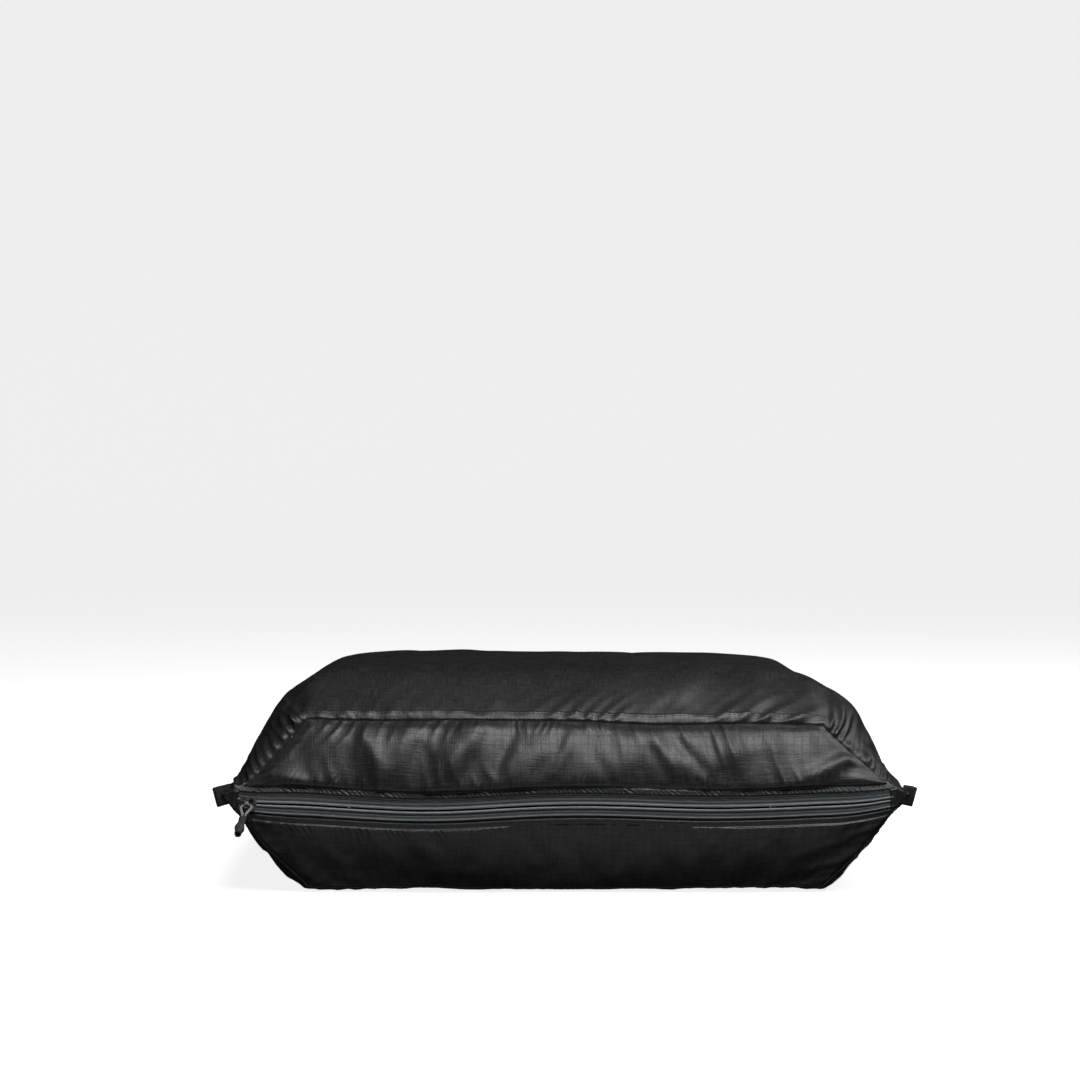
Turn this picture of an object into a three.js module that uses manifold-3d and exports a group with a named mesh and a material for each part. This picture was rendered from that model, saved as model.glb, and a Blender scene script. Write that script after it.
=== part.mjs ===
// A large packing cube of thin ripstop nylon, filled and zipped shut.
// Units are millimetres. The bag stands on Z = 0 with its middle on the Z axis, the zip faces -Y and runs
// along X. Both end panels are hexagons, and two wraps, top and bottom, join them and meet at the side ridges.
import * as THREE from 'three';
import { mergeVertices } from 'three/addons/utils/BufferGeometryUtils.js';
import Module from 'manifold-3d';

const wasm = await Module();
wasm.setup();

// ---- Driving dimensions -------------------------------------------------------------------------------------

const WALL = 1.2;              // thickness given to every fabric wall
const GAP = 0.4;               // left between pieces that are sewn together

const DEPTH_HALF = 150;        // middle of the bag to the zip line, and to the back
const ZIP_Z = 60;              // height of the zip line and of the end panels' side corners
const CORNER_HALF = 216;       // middle to a side corner of an end panel
const RIDGE_HALF = 230;        // middle to the side ridge at mid depth, where the filled bag is widest
const RIDGE_Z = 56;            // height of the side ridge at mid depth

const TOP_SEAM_HALF = 163;     // half length of the straight top edge of an end panel
const TOP_SEAM_Z = 109;
const TOP_SEAM_BACK = 23;      // how far the top edge sits behind the zip line
const SHOULDER_HALF = 178;     // shoulder of the filled bag at mid depth
const SHOULDER_Z = 133;
const CROWN_Z = 140;           // flat top of the filled bag
const SHOULDER_ROUND = 30;

const FOOT_SEAM_HALF = 164.5;  // half length of the straight bottom edge of an end panel
const FOOT_SEAM_Z = 4;
const FOOT_SEAM_BACK = 20;
const FOOT_HALF = 182;         // edge of the flat bottom at mid depth
const FOOT_ROUND = 12;

const FULL_SHARE = 0.4;        // middle share of the depth that is filled to the full section
const FLOOR_SHARE = 0.85;      // middle share of the depth that lies flat on the ground

const TAPE_HALF = 7.4;         // zip line to the outer edge of the showing tape
const TAPE_THICK = 0.8;
const TAPE_SPLIT = 0.6;        // half the gap between the two tapes, which the slider's wedge runs in
const LIP_ZIP_HALF = 181;      // half length of the part of the mouth that opens, at the zip
const LIP_SEAM_HALF = 158;     // the same at the lip's hinge seam
const FRONT_BULGE = 7;         // how far the filling pushes the upper front panel out
const FOOT_BULGE = 4;
const BACK_BULGE = 8;

const SLIDER_X = -200;         // middle of the slider with the zip shut
const SLIDER_LENGTH = 11;
const SLIDER_HALF = 4.3;
const CROWN_HOLE = 1.9;        // radius of the gap under the slider's bridge, which the cord runs through
const PULL_TILT = 76;          // degrees from hanging straight down to the pull's rest, pointing forward
const PULL_LEAN = -3;          // degrees towards the left corner, so here a little away from it
const CORD_DIAMETER = 1.8;
const GRIP_START = 20;         // along the pull, from the slider's bridge
const GRIP_END = 43;

const LOOP_WIDTH = 12.5;       // webbing width
const LOOP_THICK = 1.2;
const LOOP_ROUND = 1.4;        // inner radius of the webbing loop's round end
const LOOP_REACH = 2.2;        // root of the loop to the middle of its round end
const LOOP_NECK = 1;           // from the root to where both plies run level
const LOOP_TILT = 15;          // degrees below level
const LOOP_OUT = 1.2;          // root of the loop outside the corner

// ---- Materials ----------------------------------------------------------------------------------------------

const material = (color, roughness, metalness = 0) =>
  new THREE.MeshStandardMaterial({ color, roughness, metalness });
const ripstop = () => material(0x17181a, 0.45);
const binding = () => material(0x101011, 0.8);
const tape = () => material(0x3a3f44, 0.6);
const coil = () => material(0x2a2e32, 0.4);
const webbing = () => material(0x0b0b0b, 0.85);

// ---- Small tools --------------------------------------------------------------------------------------------

const mix = THREE.MathUtils.lerp;
const clamp = THREE.MathUtils.clamp;
const radians = THREE.MathUtils.degToRad;

// The smaller of two heights, with the corner between them rounded over the length round.
function softMin(a, b, round) {
  const overlap = Math.max(round - Math.abs(a - b), 0);
  return Math.min(a, b) - (overlap * overlap) / (4 * round);
}

const softMax = (a, b, round) => -softMin(-a, -b, round);

// A closed wall: surface(a, b) is its outer face for a and b from 0 to 1, with a x b pointing out.
function wall(surface, columns, rows, thickness = WALL) {
  const step = 1e-3;
  const positions = [];
  for (const depth of [0, thickness]) {
    for (let row = 0; row <= rows; row++) {
      for (let column = 0; column <= columns; column++) {
        const a = column / columns;
        const b = row / rows;
        const along = surface(Math.min(a + step, 1), b).sub(surface(Math.max(a - step, 0), b));
        const across = surface(a, Math.min(b + step, 1)).sub(surface(a, Math.max(b - step, 0)));
        const out = along.cross(across).normalize();
        positions.push(...surface(a, b).addScaledVector(out, -depth).toArray());
      }
    }
  }
  const layer = (columns + 1) * (rows + 1);
  const at = (column, row, side) => side * layer + row * (columns + 1) + column;
  const index = [];
  const quad = (a, b, c, d) => index.push(a, b, c, a, c, d);
  for (let row = 0; row < rows; row++) {
    for (let column = 0; column < columns; column++) {
      quad(at(column, row, 0), at(column + 1, row, 0), at(column + 1, row + 1, 0), at(column, row + 1, 0));
      quad(at(column, row, 1), at(column, row + 1, 1), at(column + 1, row + 1, 1), at(column + 1, row, 1));
    }
  }
  for (let column = 0; column < columns; column++) {
    quad(at(column, 0, 0), at(column, 0, 1), at(column + 1, 0, 1), at(column + 1, 0, 0));
    quad(at(column, rows, 1), at(column, rows, 0), at(column + 1, rows, 0), at(column + 1, rows, 1));
  }
  for (let row = 0; row < rows; row++) {
    quad(at(0, row, 1), at(0, row, 0), at(0, row + 1, 0), at(0, row + 1, 1));
    quad(at(columns, row, 0), at(columns, row, 1), at(columns, row + 1, 1), at(columns, row + 1, 0));
  }
  const geometry = new THREE.BufferGeometry();
  geometry.setAttribute('position', new THREE.Float32BufferAttribute(positions, 3));
  geometry.setIndex(index);
  return geometry;
}

// A flat outline in X and Z, extruded backwards from the plane Y = front.
function plate(outline, front, thickness) {
  const geometry = new THREE.ExtrudeGeometry(outline, { depth: thickness, bevelEnabled: false });
  geometry.rotateX(Math.PI / 2);
  return geometry.translate(0, front + thickness, 0);
}

const outlineOf = (points) => new THREE.Shape(points.map(([x, z]) => new THREE.Vector2(x, z)));

// Joins overlapping closed geometries into one body.
function join(...geometries) {
  const solids = geometries.map((geometry) => {
    const bare = geometry.clone();
    bare.deleteAttribute('normal');
    bare.deleteAttribute('uv');
    const merged = mergeVertices(bare, 1e-4);
    return new wasm.Manifold(new wasm.Mesh({
      numProp: 3,
      vertProperties: merged.attributes.position.array,
      triVerts: new Uint32Array(merged.index.array),
    }));
  });
  const mesh = solids.reduce((whole, solid) => whole.add(solid)).getMesh();
  const geometry = new THREE.BufferGeometry();
  geometry.setAttribute('position', new THREE.BufferAttribute(mesh.vertProperties, 3));
  geometry.setIndex(new THREE.BufferAttribute(mesh.triVerts, 1));
  return geometry;
}

function box(width, depth, height, x, y, z) {
  return new THREE.BoxGeometry(width, depth, height).translate(x, y, z);
}

// ---- Shape of the filled bag --------------------------------------------------------------------------------

// How full the bag's section is at depth t, which runs from -1 at the front to 1 at the back.
const fullness = (t) => 1 - Math.max(0, (Math.abs(t) - FULL_SHARE) / (1 - FULL_SHARE)) ** 2.5;

// How far an end panel leans back at a height of rise above or below the zip line.
const leanBack = (rise, reach, back) => back * clamp((rise - TAPE_HALF) / (reach - TAPE_HALF), 0, 1);

const ridgeX = (t) => mix(CORNER_HALF, RIDGE_HALF, 1 - t * t);
const ridgeZ = (t) => mix(ZIP_Z, RIDGE_Z, fullness(t));

// Half length of an end panel at height z.
function panelHalf(z) {
  return z > ZIP_Z
    ? mix(CORNER_HALF, TOP_SEAM_HALF, (z - ZIP_Z) / (TOP_SEAM_Z - ZIP_Z))
    : mix(CORNER_HALF, FOOT_SEAM_HALF, (ZIP_Z - z) / (ZIP_Z - FOOT_SEAM_Z));
}

// Top wrap: s runs from the left ridge at -1 to the right ridge at 1.
function topSkin(s, t) {
  const full = fullness(t);
  const x = s * ridgeX(t);
  const shoulderX = mix(TOP_SEAM_HALF, SHOULDER_HALF, full);
  const shoulderZ = mix(TOP_SEAM_Z, SHOULDER_Z, full);
  const crownZ = mix(TOP_SEAM_Z + 1, CROWN_Z, full);
  const up = (ridgeX(t) - Math.abs(x)) / (ridgeX(t) - shoulderX);
  const side = mix(ridgeZ(t), shoulderZ, up);
  const fall = Math.max(0, (2 * Math.abs(x)) / shoulderX - 1) ** 2;
  const z = softMin(side, mix(crownZ, shoulderZ, fall), mix(2, SHOULDER_ROUND, full));
  const back = leanBack(up * (TOP_SEAM_Z - ZIP_Z), TOP_SEAM_Z - ZIP_Z, TOP_SEAM_BACK);
  return new THREE.Vector3(x, t * (DEPTH_HALF - back), z);
}

// Bottom wrap, from the left ridge to the right ridge.
function bottomSkin(s, t) {
  const full = fullness(t);
  const x = s * ridgeX(t);
  const footX = mix(FOOT_SEAM_HALF, FOOT_HALF, full);
  const footZ = FOOT_SEAM_Z * Math.max(0, (Math.abs(t) - FLOOR_SHARE) / (1 - FLOOR_SHARE)) ** 2;
  const down = (ridgeX(t) - Math.abs(x)) / (ridgeX(t) - footX);
  const z = softMax(mix(ridgeZ(t), footZ, down), footZ, mix(1, FOOT_ROUND, full));
  const back = leanBack(down * (ZIP_Z - FOOT_SEAM_Z), ZIP_Z - FOOT_SEAM_Z, FOOT_SEAM_BACK);
  return new THREE.Vector3(x, t * (DEPTH_HALF - back), z);
}

// An end panel's distance from the middle of the bag at (x, z), with the filling's bulge.
function endPanelDepth(x, z, bulge) {
  const above = z > ZIP_Z;
  const reach = above ? TOP_SEAM_Z - ZIP_Z : ZIP_Z - FOOT_SEAM_Z;
  const rise = Math.abs(z - ZIP_Z);
  const up = clamp((rise - TAPE_HALF) / (reach - TAPE_HALF), 0, 1);
  const back = leanBack(rise, reach, above ? TOP_SEAM_BACK : FOOT_SEAM_BACK);
  const sides = 1 - Math.abs(x / panelHalf(z)) ** 4;
  return DEPTH_HALF - back + bulge * 4 * up * (1 - up) * sides;
}

// ---- Fabric panels ------------------------------------------------------------------------------------------

const EDGE = 2.8 / DEPTH_HALF; // share of the depth that a wrap stays short of an end panel
const SIDE_EDGE = 1.7;         // how far a wrap stays short of the ridge
const RIM = 0.9;               // how far an end panel stays short of its own outline

function wrapGeometry(skin, backwards) {
  return wall((a, b) => {
    const t = mix(-1 + EDGE, 1 - EDGE, backwards ? 1 - b : b);
    const reach = 1 - SIDE_EDGE / ridgeX(t);
    return skin(mix(-reach, reach, a), t);
  }, 28, 14);
}

// A stretch of the front between two sides that are straight lines from the zip to the hinge seam.
function frontGeometry(zipZ, seamZ, fromX, toX, bulge, columns) {
  return wall((a, b) => {
    const rows = zipZ < seamZ ? b : 1 - b;
    const z = mix(zipZ, seamZ, rows);
    const x = mix(fromX(rows, z), toX(rows, z), a);
    return new THREE.Vector3(x, -endPanelDepth(x, z, bulge), z);
  }, columns, 6);
}

const lipHalf = (rows) => mix(LIP_ZIP_HALF, LIP_SEAM_HALF, rows);

function frontPieces(name, zipZ, seamZ, bulge) {
  const rim = (z) => panelHalf(z) - RIM;
  return {
    [`front_${name}_panel`]: frontGeometry(zipZ, seamZ, (r) => -lipHalf(r), lipHalf, bulge, 24),
    [`front_${name}_corner_left`]:
      frontGeometry(zipZ, seamZ, (r, z) => -rim(z), (r) => -lipHalf(r) - GAP, bulge, 3),
    [`front_${name}_corner_right`]:
      frontGeometry(zipZ, seamZ, (r) => lipHalf(r) + GAP, (r, z) => rim(z), bulge, 3),
  };
}

function backPanel() {
  const rows = 12;
  return wall((a, b) => {
    const z = b < 0.5
      ? mix(FOOT_SEAM_Z + RIM, ZIP_Z, 2 * b)
      : mix(ZIP_Z, TOP_SEAM_Z - RIM, 2 * b - 1);
    const x = mix(1, -1, a) * (panelHalf(z) - RIM);
    const swell = BACK_BULGE * Math.sin(Math.PI * b) * (1 - Math.abs(x / panelHalf(z)) ** 4);
    return new THREE.Vector3(x, endPanelDepth(x, z, 0) + swell, z);
  }, 24, rows);
}

// ---- Bindings inside the seams ------------------------------------------------------------------------------

// A binding that follows an end panel's outline inside the bag. side is -1 at the front and 1 at the back.
function seamBinding(side) {
  const thick = 1.2;
  const tall = 6;
  const inset = 3.4;
  const behind = 7.5;          // clear of the slider
  const corners = (set) => [
    [CORNER_HALF - 2.4 * set, ZIP_Z, 0],
    [TOP_SEAM_HALF - 0.6 * set, TOP_SEAM_Z - set, TOP_SEAM_BACK],
    [-TOP_SEAM_HALF + 0.6 * set, TOP_SEAM_Z - set, TOP_SEAM_BACK],
    [-CORNER_HALF + 2.4 * set, ZIP_Z, 0],
    [-FOOT_SEAM_HALF + 0.6 * set, FOOT_SEAM_Z + set, FOOT_SEAM_BACK],
    [FOOT_SEAM_HALF - 0.6 * set, FOOT_SEAM_Z + set, FOOT_SEAM_BACK],
  ];
  const positions = [];
  for (const [set, inner] of [[inset, 0], [inset, tall], [inset + thick, tall], [inset + thick, 0]]) {
    for (const [x, z, back] of corners(set)) {
      positions.push(x, side * (DEPTH_HALF - back - behind - inner), z);
    }
  }
  const index = [];
  for (let edge = 0; edge < 4; edge++) {
    for (let corner = 0; corner < 6; corner++) {
      const [a, b] = [edge * 6 + corner, edge * 6 + ((corner + 1) % 6)];
      const [c, d] = [((edge + 1) % 4) * 6 + ((corner + 1) % 6), ((edge + 1) % 4) * 6 + corner];
      index.push(...(side > 0 ? [a, b, c, a, c, d] : [a, c, b, a, d, c]));
    }
  }
  const geometry = new THREE.BufferGeometry();
  geometry.setAttribute('position', new THREE.Float32BufferAttribute(positions, 3));
  geometry.setIndex(index);
  return geometry;
}

// The bound seam allowance that stands in from a side ridge. side is -1 on the left and 1 on the right.
function ridgeBinding(side) {
  const ends = 0.9;
  const [near, far] = [4, 10];
  return wall((a, b) => {
    const t = mix(-ends, ends, b);
    const inset = side > 0 ? mix(far, near, a) : mix(near, far, a);
    return new THREE.Vector3(side * (ridgeX(t) - inset), t * DEPTH_HALF, ridgeZ(t) + WALL / 2);
  }, 1, 16);
}

// ---- Zip ----------------------------------------------------------------------------------------------------

const TAPE_FRONT = -DEPTH_HALF;
const COIL_BACK = TAPE_FRONT + TAPE_THICK + 0.3;   // the coil lies on the tape's inner side
const COIL_DEEP = 2.4;
const COIL_TALL = 2.8;

function zipTape(side) {
  const tall = TAPE_HALF - TAPE_SPLIT;
  const z = ZIP_Z + side * (TAPE_SPLIT + tall / 2);
  return box(2 * LIP_ZIP_HALF, TAPE_THICK, tall, 0, TAPE_FRONT + TAPE_THICK / 2, z);
}

function zipCoil(side) {
  const geometry = new THREE.CylinderGeometry(0.5, 0.5, 2 * LIP_ZIP_HALF, 12);
  geometry.rotateZ(Math.PI / 2);
  geometry.scale(1, COIL_DEEP, COIL_TALL);
  return geometry.translate(0, COIL_BACK + COIL_DEEP / 2, ZIP_Z + side * (TAPE_SPLIT + COIL_TALL / 2));
}

// The fixed end of both tapes, sewn together past the slider's last place.
function tapeEnd(side, slotEnd) {
  const tip = CORNER_HALF - 1.5;
  const shoulder = panelHalf(ZIP_Z + TAPE_HALF) - GAP;
  const start = LIP_ZIP_HALF + GAP;
  const outline = [
    [start, TAPE_SPLIT], [slotEnd, TAPE_SPLIT], [slotEnd, -TAPE_SPLIT], [start, -TAPE_SPLIT],
    [start, -TAPE_HALF], [shoulder, -TAPE_HALF], [tip, -1.5], [tip, 1.5], [shoulder, TAPE_HALF], [start, TAPE_HALF],
  ];
  return plate(outlineOf(outline.map(([x, z]) => [side * x, ZIP_Z + z])), TAPE_FRONT, TAPE_THICK);
}

// The folded fabric tab sewn over the end of the zip, cut to the corner of the end panel.
function zipTab(side, start) {
  const tip = CORNER_HALF - 1.5;
  const halfHeight = (x) => {
    const corner = (CORNER_HALF - x) * (TOP_SEAM_Z - ZIP_Z) / (CORNER_HALF - TOP_SEAM_HALF);
    return Math.min(TAPE_HALF - 0.3, corner);
  };
  const stations = [start, mix(start, tip, 0.4), tip];
  const below = stations.map((x) => [side * x, ZIP_Z - halfHeight(x)]);
  const above = stations.map((x) => [side * x, ZIP_Z + halfHeight(x)]).reverse();
  return plate(outlineOf([...below, ...above]), TAPE_FRONT - 1.2, 0.9);
}

const PLATE_FRONT = TAPE_FRONT - 2.1;              // outer face of the slider's outer plate
const PULL_Y = PLATE_FRONT - CROWN_HOLE;           // the pull's axis, in the middle of the bridge's hole

// The slider: an outer and an inner plate, a wedge between them, and the bridge that holds the cord.
function sliderBody() {
  const plateThick = 1.7;
  const wedgeLength = 2.5;
  const outer = roundedPlate(SLIDER_LENGTH, 2 * SLIDER_HALF, 2.2, PLATE_FRONT, plateThick);
  const wedge = box(wedgeLength, 4.9, 0.6, -SLIDER_LENGTH / 2 + wedgeLength / 2, TAPE_FRONT + 1.8, 0);
  const innerFront = COIL_BACK + COIL_DEEP + 0.5;
  const inner = roundedPlate(SLIDER_LENGTH, 2 * SLIDER_HALF, 2.2, innerFront, 1.5);
  const flanges = [-1, 1].map((side) =>
    box(SLIDER_LENGTH - 4.4, 3.2, 0.5, 0, innerFront - 1.1, side * (SLIDER_HALF - 0.25)));
  const arch = new THREE.Shape();
  arch.absellipse(0, 0, 4, 5.2, 0, Math.PI);
  arch.lineTo(-4, -0.3);
  arch.lineTo(-2.7, -0.3);
  arch.lineTo(-2.7, 0);
  arch.absellipse(0, 0, 2.7, 2 * CROWN_HOLE, Math.PI, 0, true);
  arch.lineTo(2.7, -0.3);
  arch.lineTo(4, -0.3);
  const bridge = new THREE.ExtrudeGeometry(arch, { depth: 2.6, bevelEnabled: false, curveSegments: 10 });
  bridge.translate(0, 0, -1.3);
  bridge.rotateZ(Math.PI / 2);
  bridge.rotateX(Math.PI / 2);
  bridge.rotateZ(Math.PI / 2);
  bridge.translate(0, PLATE_FRONT, 0);
  return join(outer, wedge, inner, ...flanges, bridge);
}

function roundedPlate(length, height, corner, front, thickness) {
  const [x, z] = [length / 2 - corner, height / 2 - corner];
  const outline = new THREE.Shape();
  outline.absarc(x, z, corner, 0, Math.PI / 2);
  outline.absarc(-x, z, corner, Math.PI / 2, Math.PI);
  outline.absarc(-x, -z, corner, Math.PI, 1.5 * Math.PI);
  outline.absarc(x, -z, corner, 1.5 * Math.PI, 2 * Math.PI);
  const geometry = new THREE.ExtrudeGeometry(outline, { depth: thickness, bevelEnabled: false, curveSegments: 4 });
  geometry.rotateX(Math.PI / 2);
  return geometry.translate(0, front + thickness, 0);
}

// The doubled cord, from the grip up one side, through the bridge along X and down the other side.
function pullCord() {
  const leg = [[1.1, GRIP_START - GAP], [1.1, 14], [1.9, 10], [3.2, 5.5], [3.1, 2.2], [1.7, 0]];
  const points = [
    ...leg.map(([x, down]) => new THREE.Vector3(-x, 0, -down)),
    new THREE.Vector3(0, 0, 0.5),
    ...leg.map(([x, down]) => new THREE.Vector3(x, 0, -down)).reverse(),
  ];
  const section = new THREE.Shape();
  section.absarc(0, 0, CORD_DIAMETER / 2, 0, 2 * Math.PI);
  return new THREE.ExtrudeGeometry(section, {
    extrudePath: new THREE.CatmullRomCurve3(points), steps: 30, curveSegments: 8, bevelEnabled: false,
  });
}

// The grip: a shrunk tube over the cord's knot.
function pullGrip() {
  const profile = [[0, 20], [2.1, 20], [2.35, 21], [2.3, 28], [2.6, 31], [3.15, 34], [2.7, 37], [2.2, 39], [2.3, 43], [0, 43]];
  const scale = (GRIP_END - GRIP_START) / 23;
  const points = profile.map(([radius, down]) =>
    new THREE.Vector2(radius, -(GRIP_START + (down - 20) * scale)));
  return new THREE.LatheGeometry(points.reverse(), 16).rotateX(Math.PI / 2);
}

// ---- Webbing loops ------------------------------------------------------------------------------------------

// A teardrop of webbing: its two plies are sewn in together at the root, at the origin, and it reaches along +X.
function webbingLoop() {
  const teardrop = (radius, root, tip) => {
    const path = tip ?? new THREE.Shape();
    path.moveTo(root, -0.2 * radius);
    path.lineTo(LOOP_NECK, -radius);
    path.lineTo(LOOP_REACH, -radius);
    path.absarc(LOOP_REACH, 0, radius, -Math.PI / 2, Math.PI / 2);
    path.lineTo(LOOP_NECK, radius);
    path.lineTo(root, 0.2 * radius);
    path.closePath();
    return path;
  };
  const band = teardrop(LOOP_ROUND + LOOP_THICK, 0);
  band.holes.push(teardrop(LOOP_ROUND, 0.9, new THREE.Path()));
  const geometry = new THREE.ExtrudeGeometry(band, { depth: LOOP_WIDTH, bevelEnabled: false, curveSegments: 8 });
  return geometry.translate(0, 0, -LOOP_WIDTH / 2);
}

// ---- Assembly -----------------------------------------------------------------------------------------------

const cube = new THREE.Group();

function add(name, geometry, look, parent = cube) {
  const mesh = new THREE.Mesh(geometry, look);
  mesh.name = name;
  parent.add(mesh);
  return mesh;
}

add('top_wrap_panel', wrapGeometry(topSkin, false), ripstop());
add('bottom_wrap_panel', wrapGeometry(bottomSkin, true), ripstop());
add('back_panel', backPanel(), ripstop());

const fronts = {
  ...frontPieces('upper', ZIP_Z + TAPE_HALF + GAP, TOP_SEAM_Z - RIM, FRONT_BULGE),
  ...frontPieces('lower', ZIP_Z - TAPE_HALF - GAP, FOOT_SEAM_Z + RIM, FOOT_BULGE),
};
for (const [name, geometry] of Object.entries(fronts)) {
  add(name, geometry, ripstop());
}

add('seam_binding_front', seamBinding(-1), binding());
add('seam_binding_back', seamBinding(1), binding());
add('ridge_binding_left', ridgeBinding(-1), binding());
add('ridge_binding_right', ridgeBinding(1), binding());

add('zip_tape_upper', zipTape(1), tape());
add('zip_tape_lower', zipTape(-1), tape());
add('zip_coil_upper', zipCoil(1), coil());
add('zip_coil_lower', zipCoil(-1), coil());
add('zip_tape_end_left', tapeEnd(-1, 206.2), tape());
add('zip_tape_end_right', tapeEnd(1, 196.2), tape());
add('zip_tab_left', zipTab(-1, 206.2), ripstop());
add('zip_tab_right', zipTab(1, 201), ripstop());

const slider = new THREE.Group();
slider.position.set(SLIDER_X, 0, ZIP_Z);
cube.add(slider);
add('slider_body', sliderBody(), material(0x0d0d0e, 0.3, 0.6), slider);

const pull = new THREE.Group();
pull.position.set(0, PULL_Y, 0);
pull.rotation.set(radians(-PULL_TILT), radians(PULL_LEAN), 0);
slider.add(pull);
add('pull_cord', pullCord(), material(0x6d6f70, 0.6), pull);
add('pull_grip', pullGrip(), material(0x4b4d50, 0.45), pull);

// Where a loop's root leaves the corner, and how far it is swung back along the side, in degrees.
const loops = { left: { side: -1, swing: 0 }, right: { side: 1, swing: 36 } };
for (const [name, { side, swing }] of Object.entries(loops)) {
  const loop = add(`webbing_loop_${name}`, webbingLoop(), webbing());
  loop.position.set(side * (CORNER_HALF + LOOP_OUT), -DEPTH_HALF + 3.8, ZIP_Z);
  const outward = side > 0 ? 0 : Math.PI;
  const tilt = new THREE.Quaternion().setFromAxisAngle(new THREE.Vector3(0, 1, 0), side * radians(LOOP_TILT));
  const turn = new THREE.Quaternion().setFromAxisAngle(new THREE.Vector3(0, 0, 1), outward + side * radians(swing));
  loop.quaternion.multiplyQuaternions(tilt, turn);
}

export default cube;
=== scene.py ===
"""Looks of the packing cube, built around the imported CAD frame.

Shapes are worked out in millimetres, in the CAD frame: X to the right along the zip, Y to the back, Z up.
They become metres when a mesh is made.
"""

import math

import bpy
import numpy as np
from mathutils import Euler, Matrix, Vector


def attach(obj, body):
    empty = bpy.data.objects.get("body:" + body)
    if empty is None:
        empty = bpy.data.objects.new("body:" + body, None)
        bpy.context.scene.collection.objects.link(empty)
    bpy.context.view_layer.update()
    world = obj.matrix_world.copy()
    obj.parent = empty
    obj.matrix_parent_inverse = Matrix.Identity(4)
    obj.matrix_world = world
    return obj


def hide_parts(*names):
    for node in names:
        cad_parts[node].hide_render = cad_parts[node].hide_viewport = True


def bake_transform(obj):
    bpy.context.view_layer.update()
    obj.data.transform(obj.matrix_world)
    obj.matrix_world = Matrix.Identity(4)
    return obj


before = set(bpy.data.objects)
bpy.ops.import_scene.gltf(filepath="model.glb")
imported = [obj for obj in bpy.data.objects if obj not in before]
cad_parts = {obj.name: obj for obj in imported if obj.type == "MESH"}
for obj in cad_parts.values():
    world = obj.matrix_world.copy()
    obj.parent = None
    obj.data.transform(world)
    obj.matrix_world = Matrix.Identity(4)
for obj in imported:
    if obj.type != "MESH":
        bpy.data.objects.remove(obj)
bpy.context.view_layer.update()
scene = bpy.context.scene
MM = 0.001

# ---- Driving dimensions, the same as in the CAD source, in mm ----------------

DEPTH_HALF = 150
ZIP_Z = 60
CORNER_HALF = 216
RIDGE_HALF = 230
RIDGE_Z = 56
TOP_SEAM_HALF = 163
TOP_SEAM_Z = 109
TOP_SEAM_BACK = 23
SHOULDER_HALF = 178
SHOULDER_Z = 133
CROWN_Z = 140
SHOULDER_ROUND = 30
FOOT_SEAM_HALF = 164.5
FOOT_SEAM_Z = 4
FOOT_SEAM_BACK = 20
FOOT_HALF = 182
FOOT_ROUND = 12
FULL_SHARE = 0.4      # share of the depth over which the bag is full
FLOOR_SHARE = 0.85    # share of the depth that rests on the floor
TAPE_HALF = 7.4
LIP_ZIP_HALF = 181
FOOT_BULGE = 4
BACK_BULGE = 8
SLIDER_X = -200
PULL_Y = -154
PULL_TILT = 76
PULL_LEAN = -3
CORD_DIAMETER = 1.8
LOOP_WIDTH = 12.5
LOOP_THICK = 1.2
LOOP_ROUND = 1.4
LOOP_REACH = 2.2
LOOP_TILT = 15
LOOP_OUT = 1.2
LOOPS = (("left", -1, 0), ("right", 1, 36))  # name, side and swing in degrees

# ---- Mesh layout -------------------------------------------------------------

FLAT = 0.64           # share of a wrap's columns between its two edges

# ---- Sewing details, in mm ---------------------------------------------------

FELL = 5.0            # width of the topstitched strip along the end seams
HEM = 3.6             # width of the folded hem beside the zip
SEAM_GROOVE = 0.8     # how far the cloth stands proud beside an end seam
SIDE_PUFF = 4.0       # how far the gathered cloth puffs out behind a slanted seam
STITCH_PITCH = 3.0
STITCH_LENGTH = 2.1
THREAD = 0.34         # thread diameter
THREAD_SINK = 0.12    # how deep a stitch lies in the cloth
THREAD_SIDES = 6
RIPSTOP_GRID = 5.0

# Single folds on the upper front panel: start and end as (x, rise from the zip), width and height.
FRONT_FOLDS = (
    ((148, 14), (196, 33), 4.5, 2.4),
    ((-196, 20), (-158, 12), 4.0, 1.8),
    ((-168, 44), (-190, 30), 3.6, 1.6),
    ((-132, 46), (-112, 16), 5.0, 1.4),
    ((-52, 46), (-76, 16), 6.0, 1.5),
    ((10, 47), (-10, 14), 5.0, 1.3),
    ((52, 46), (74, 16), 5.0, 1.5),
    ((96, 45), (112, 18), 6.0, 1.3),
    ((64, 46), (90, 18), 4.0, -1.2),
    ((-30, 46), (-46, 18), 5.0, -1.2),
)

# ---- How the filled bag settles, in mm ---------------------------------------

CORNER_LIFT = 6.0     # how far the side corners stand above the zip line
CORNER_LIFT_REACH = 50
TABS = (("left", -1, 206.2), ("right", 1, 205))  # name, side and start, 201 on the right in the CAD
LOOP_LIFT_SHARE = 0.8  # how much of that lift a webbing loop takes
CORNER_PINCH = 0.22   # share by which the zip band narrows towards a corner
SHOULDER_FULL = 5.0   # how far the filling pushes the shoulders out
FRONT_BULGE = 4.6     # how far the filling pushes the upper front panel out, less than the CAD's 7
ZIP_SAGS = ((-88, 62, 4.2), (95, 60, 2.6))  # place along the zip, reach and depth


# ---- Camera and lights, in metres and watts ----------------------------------

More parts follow.
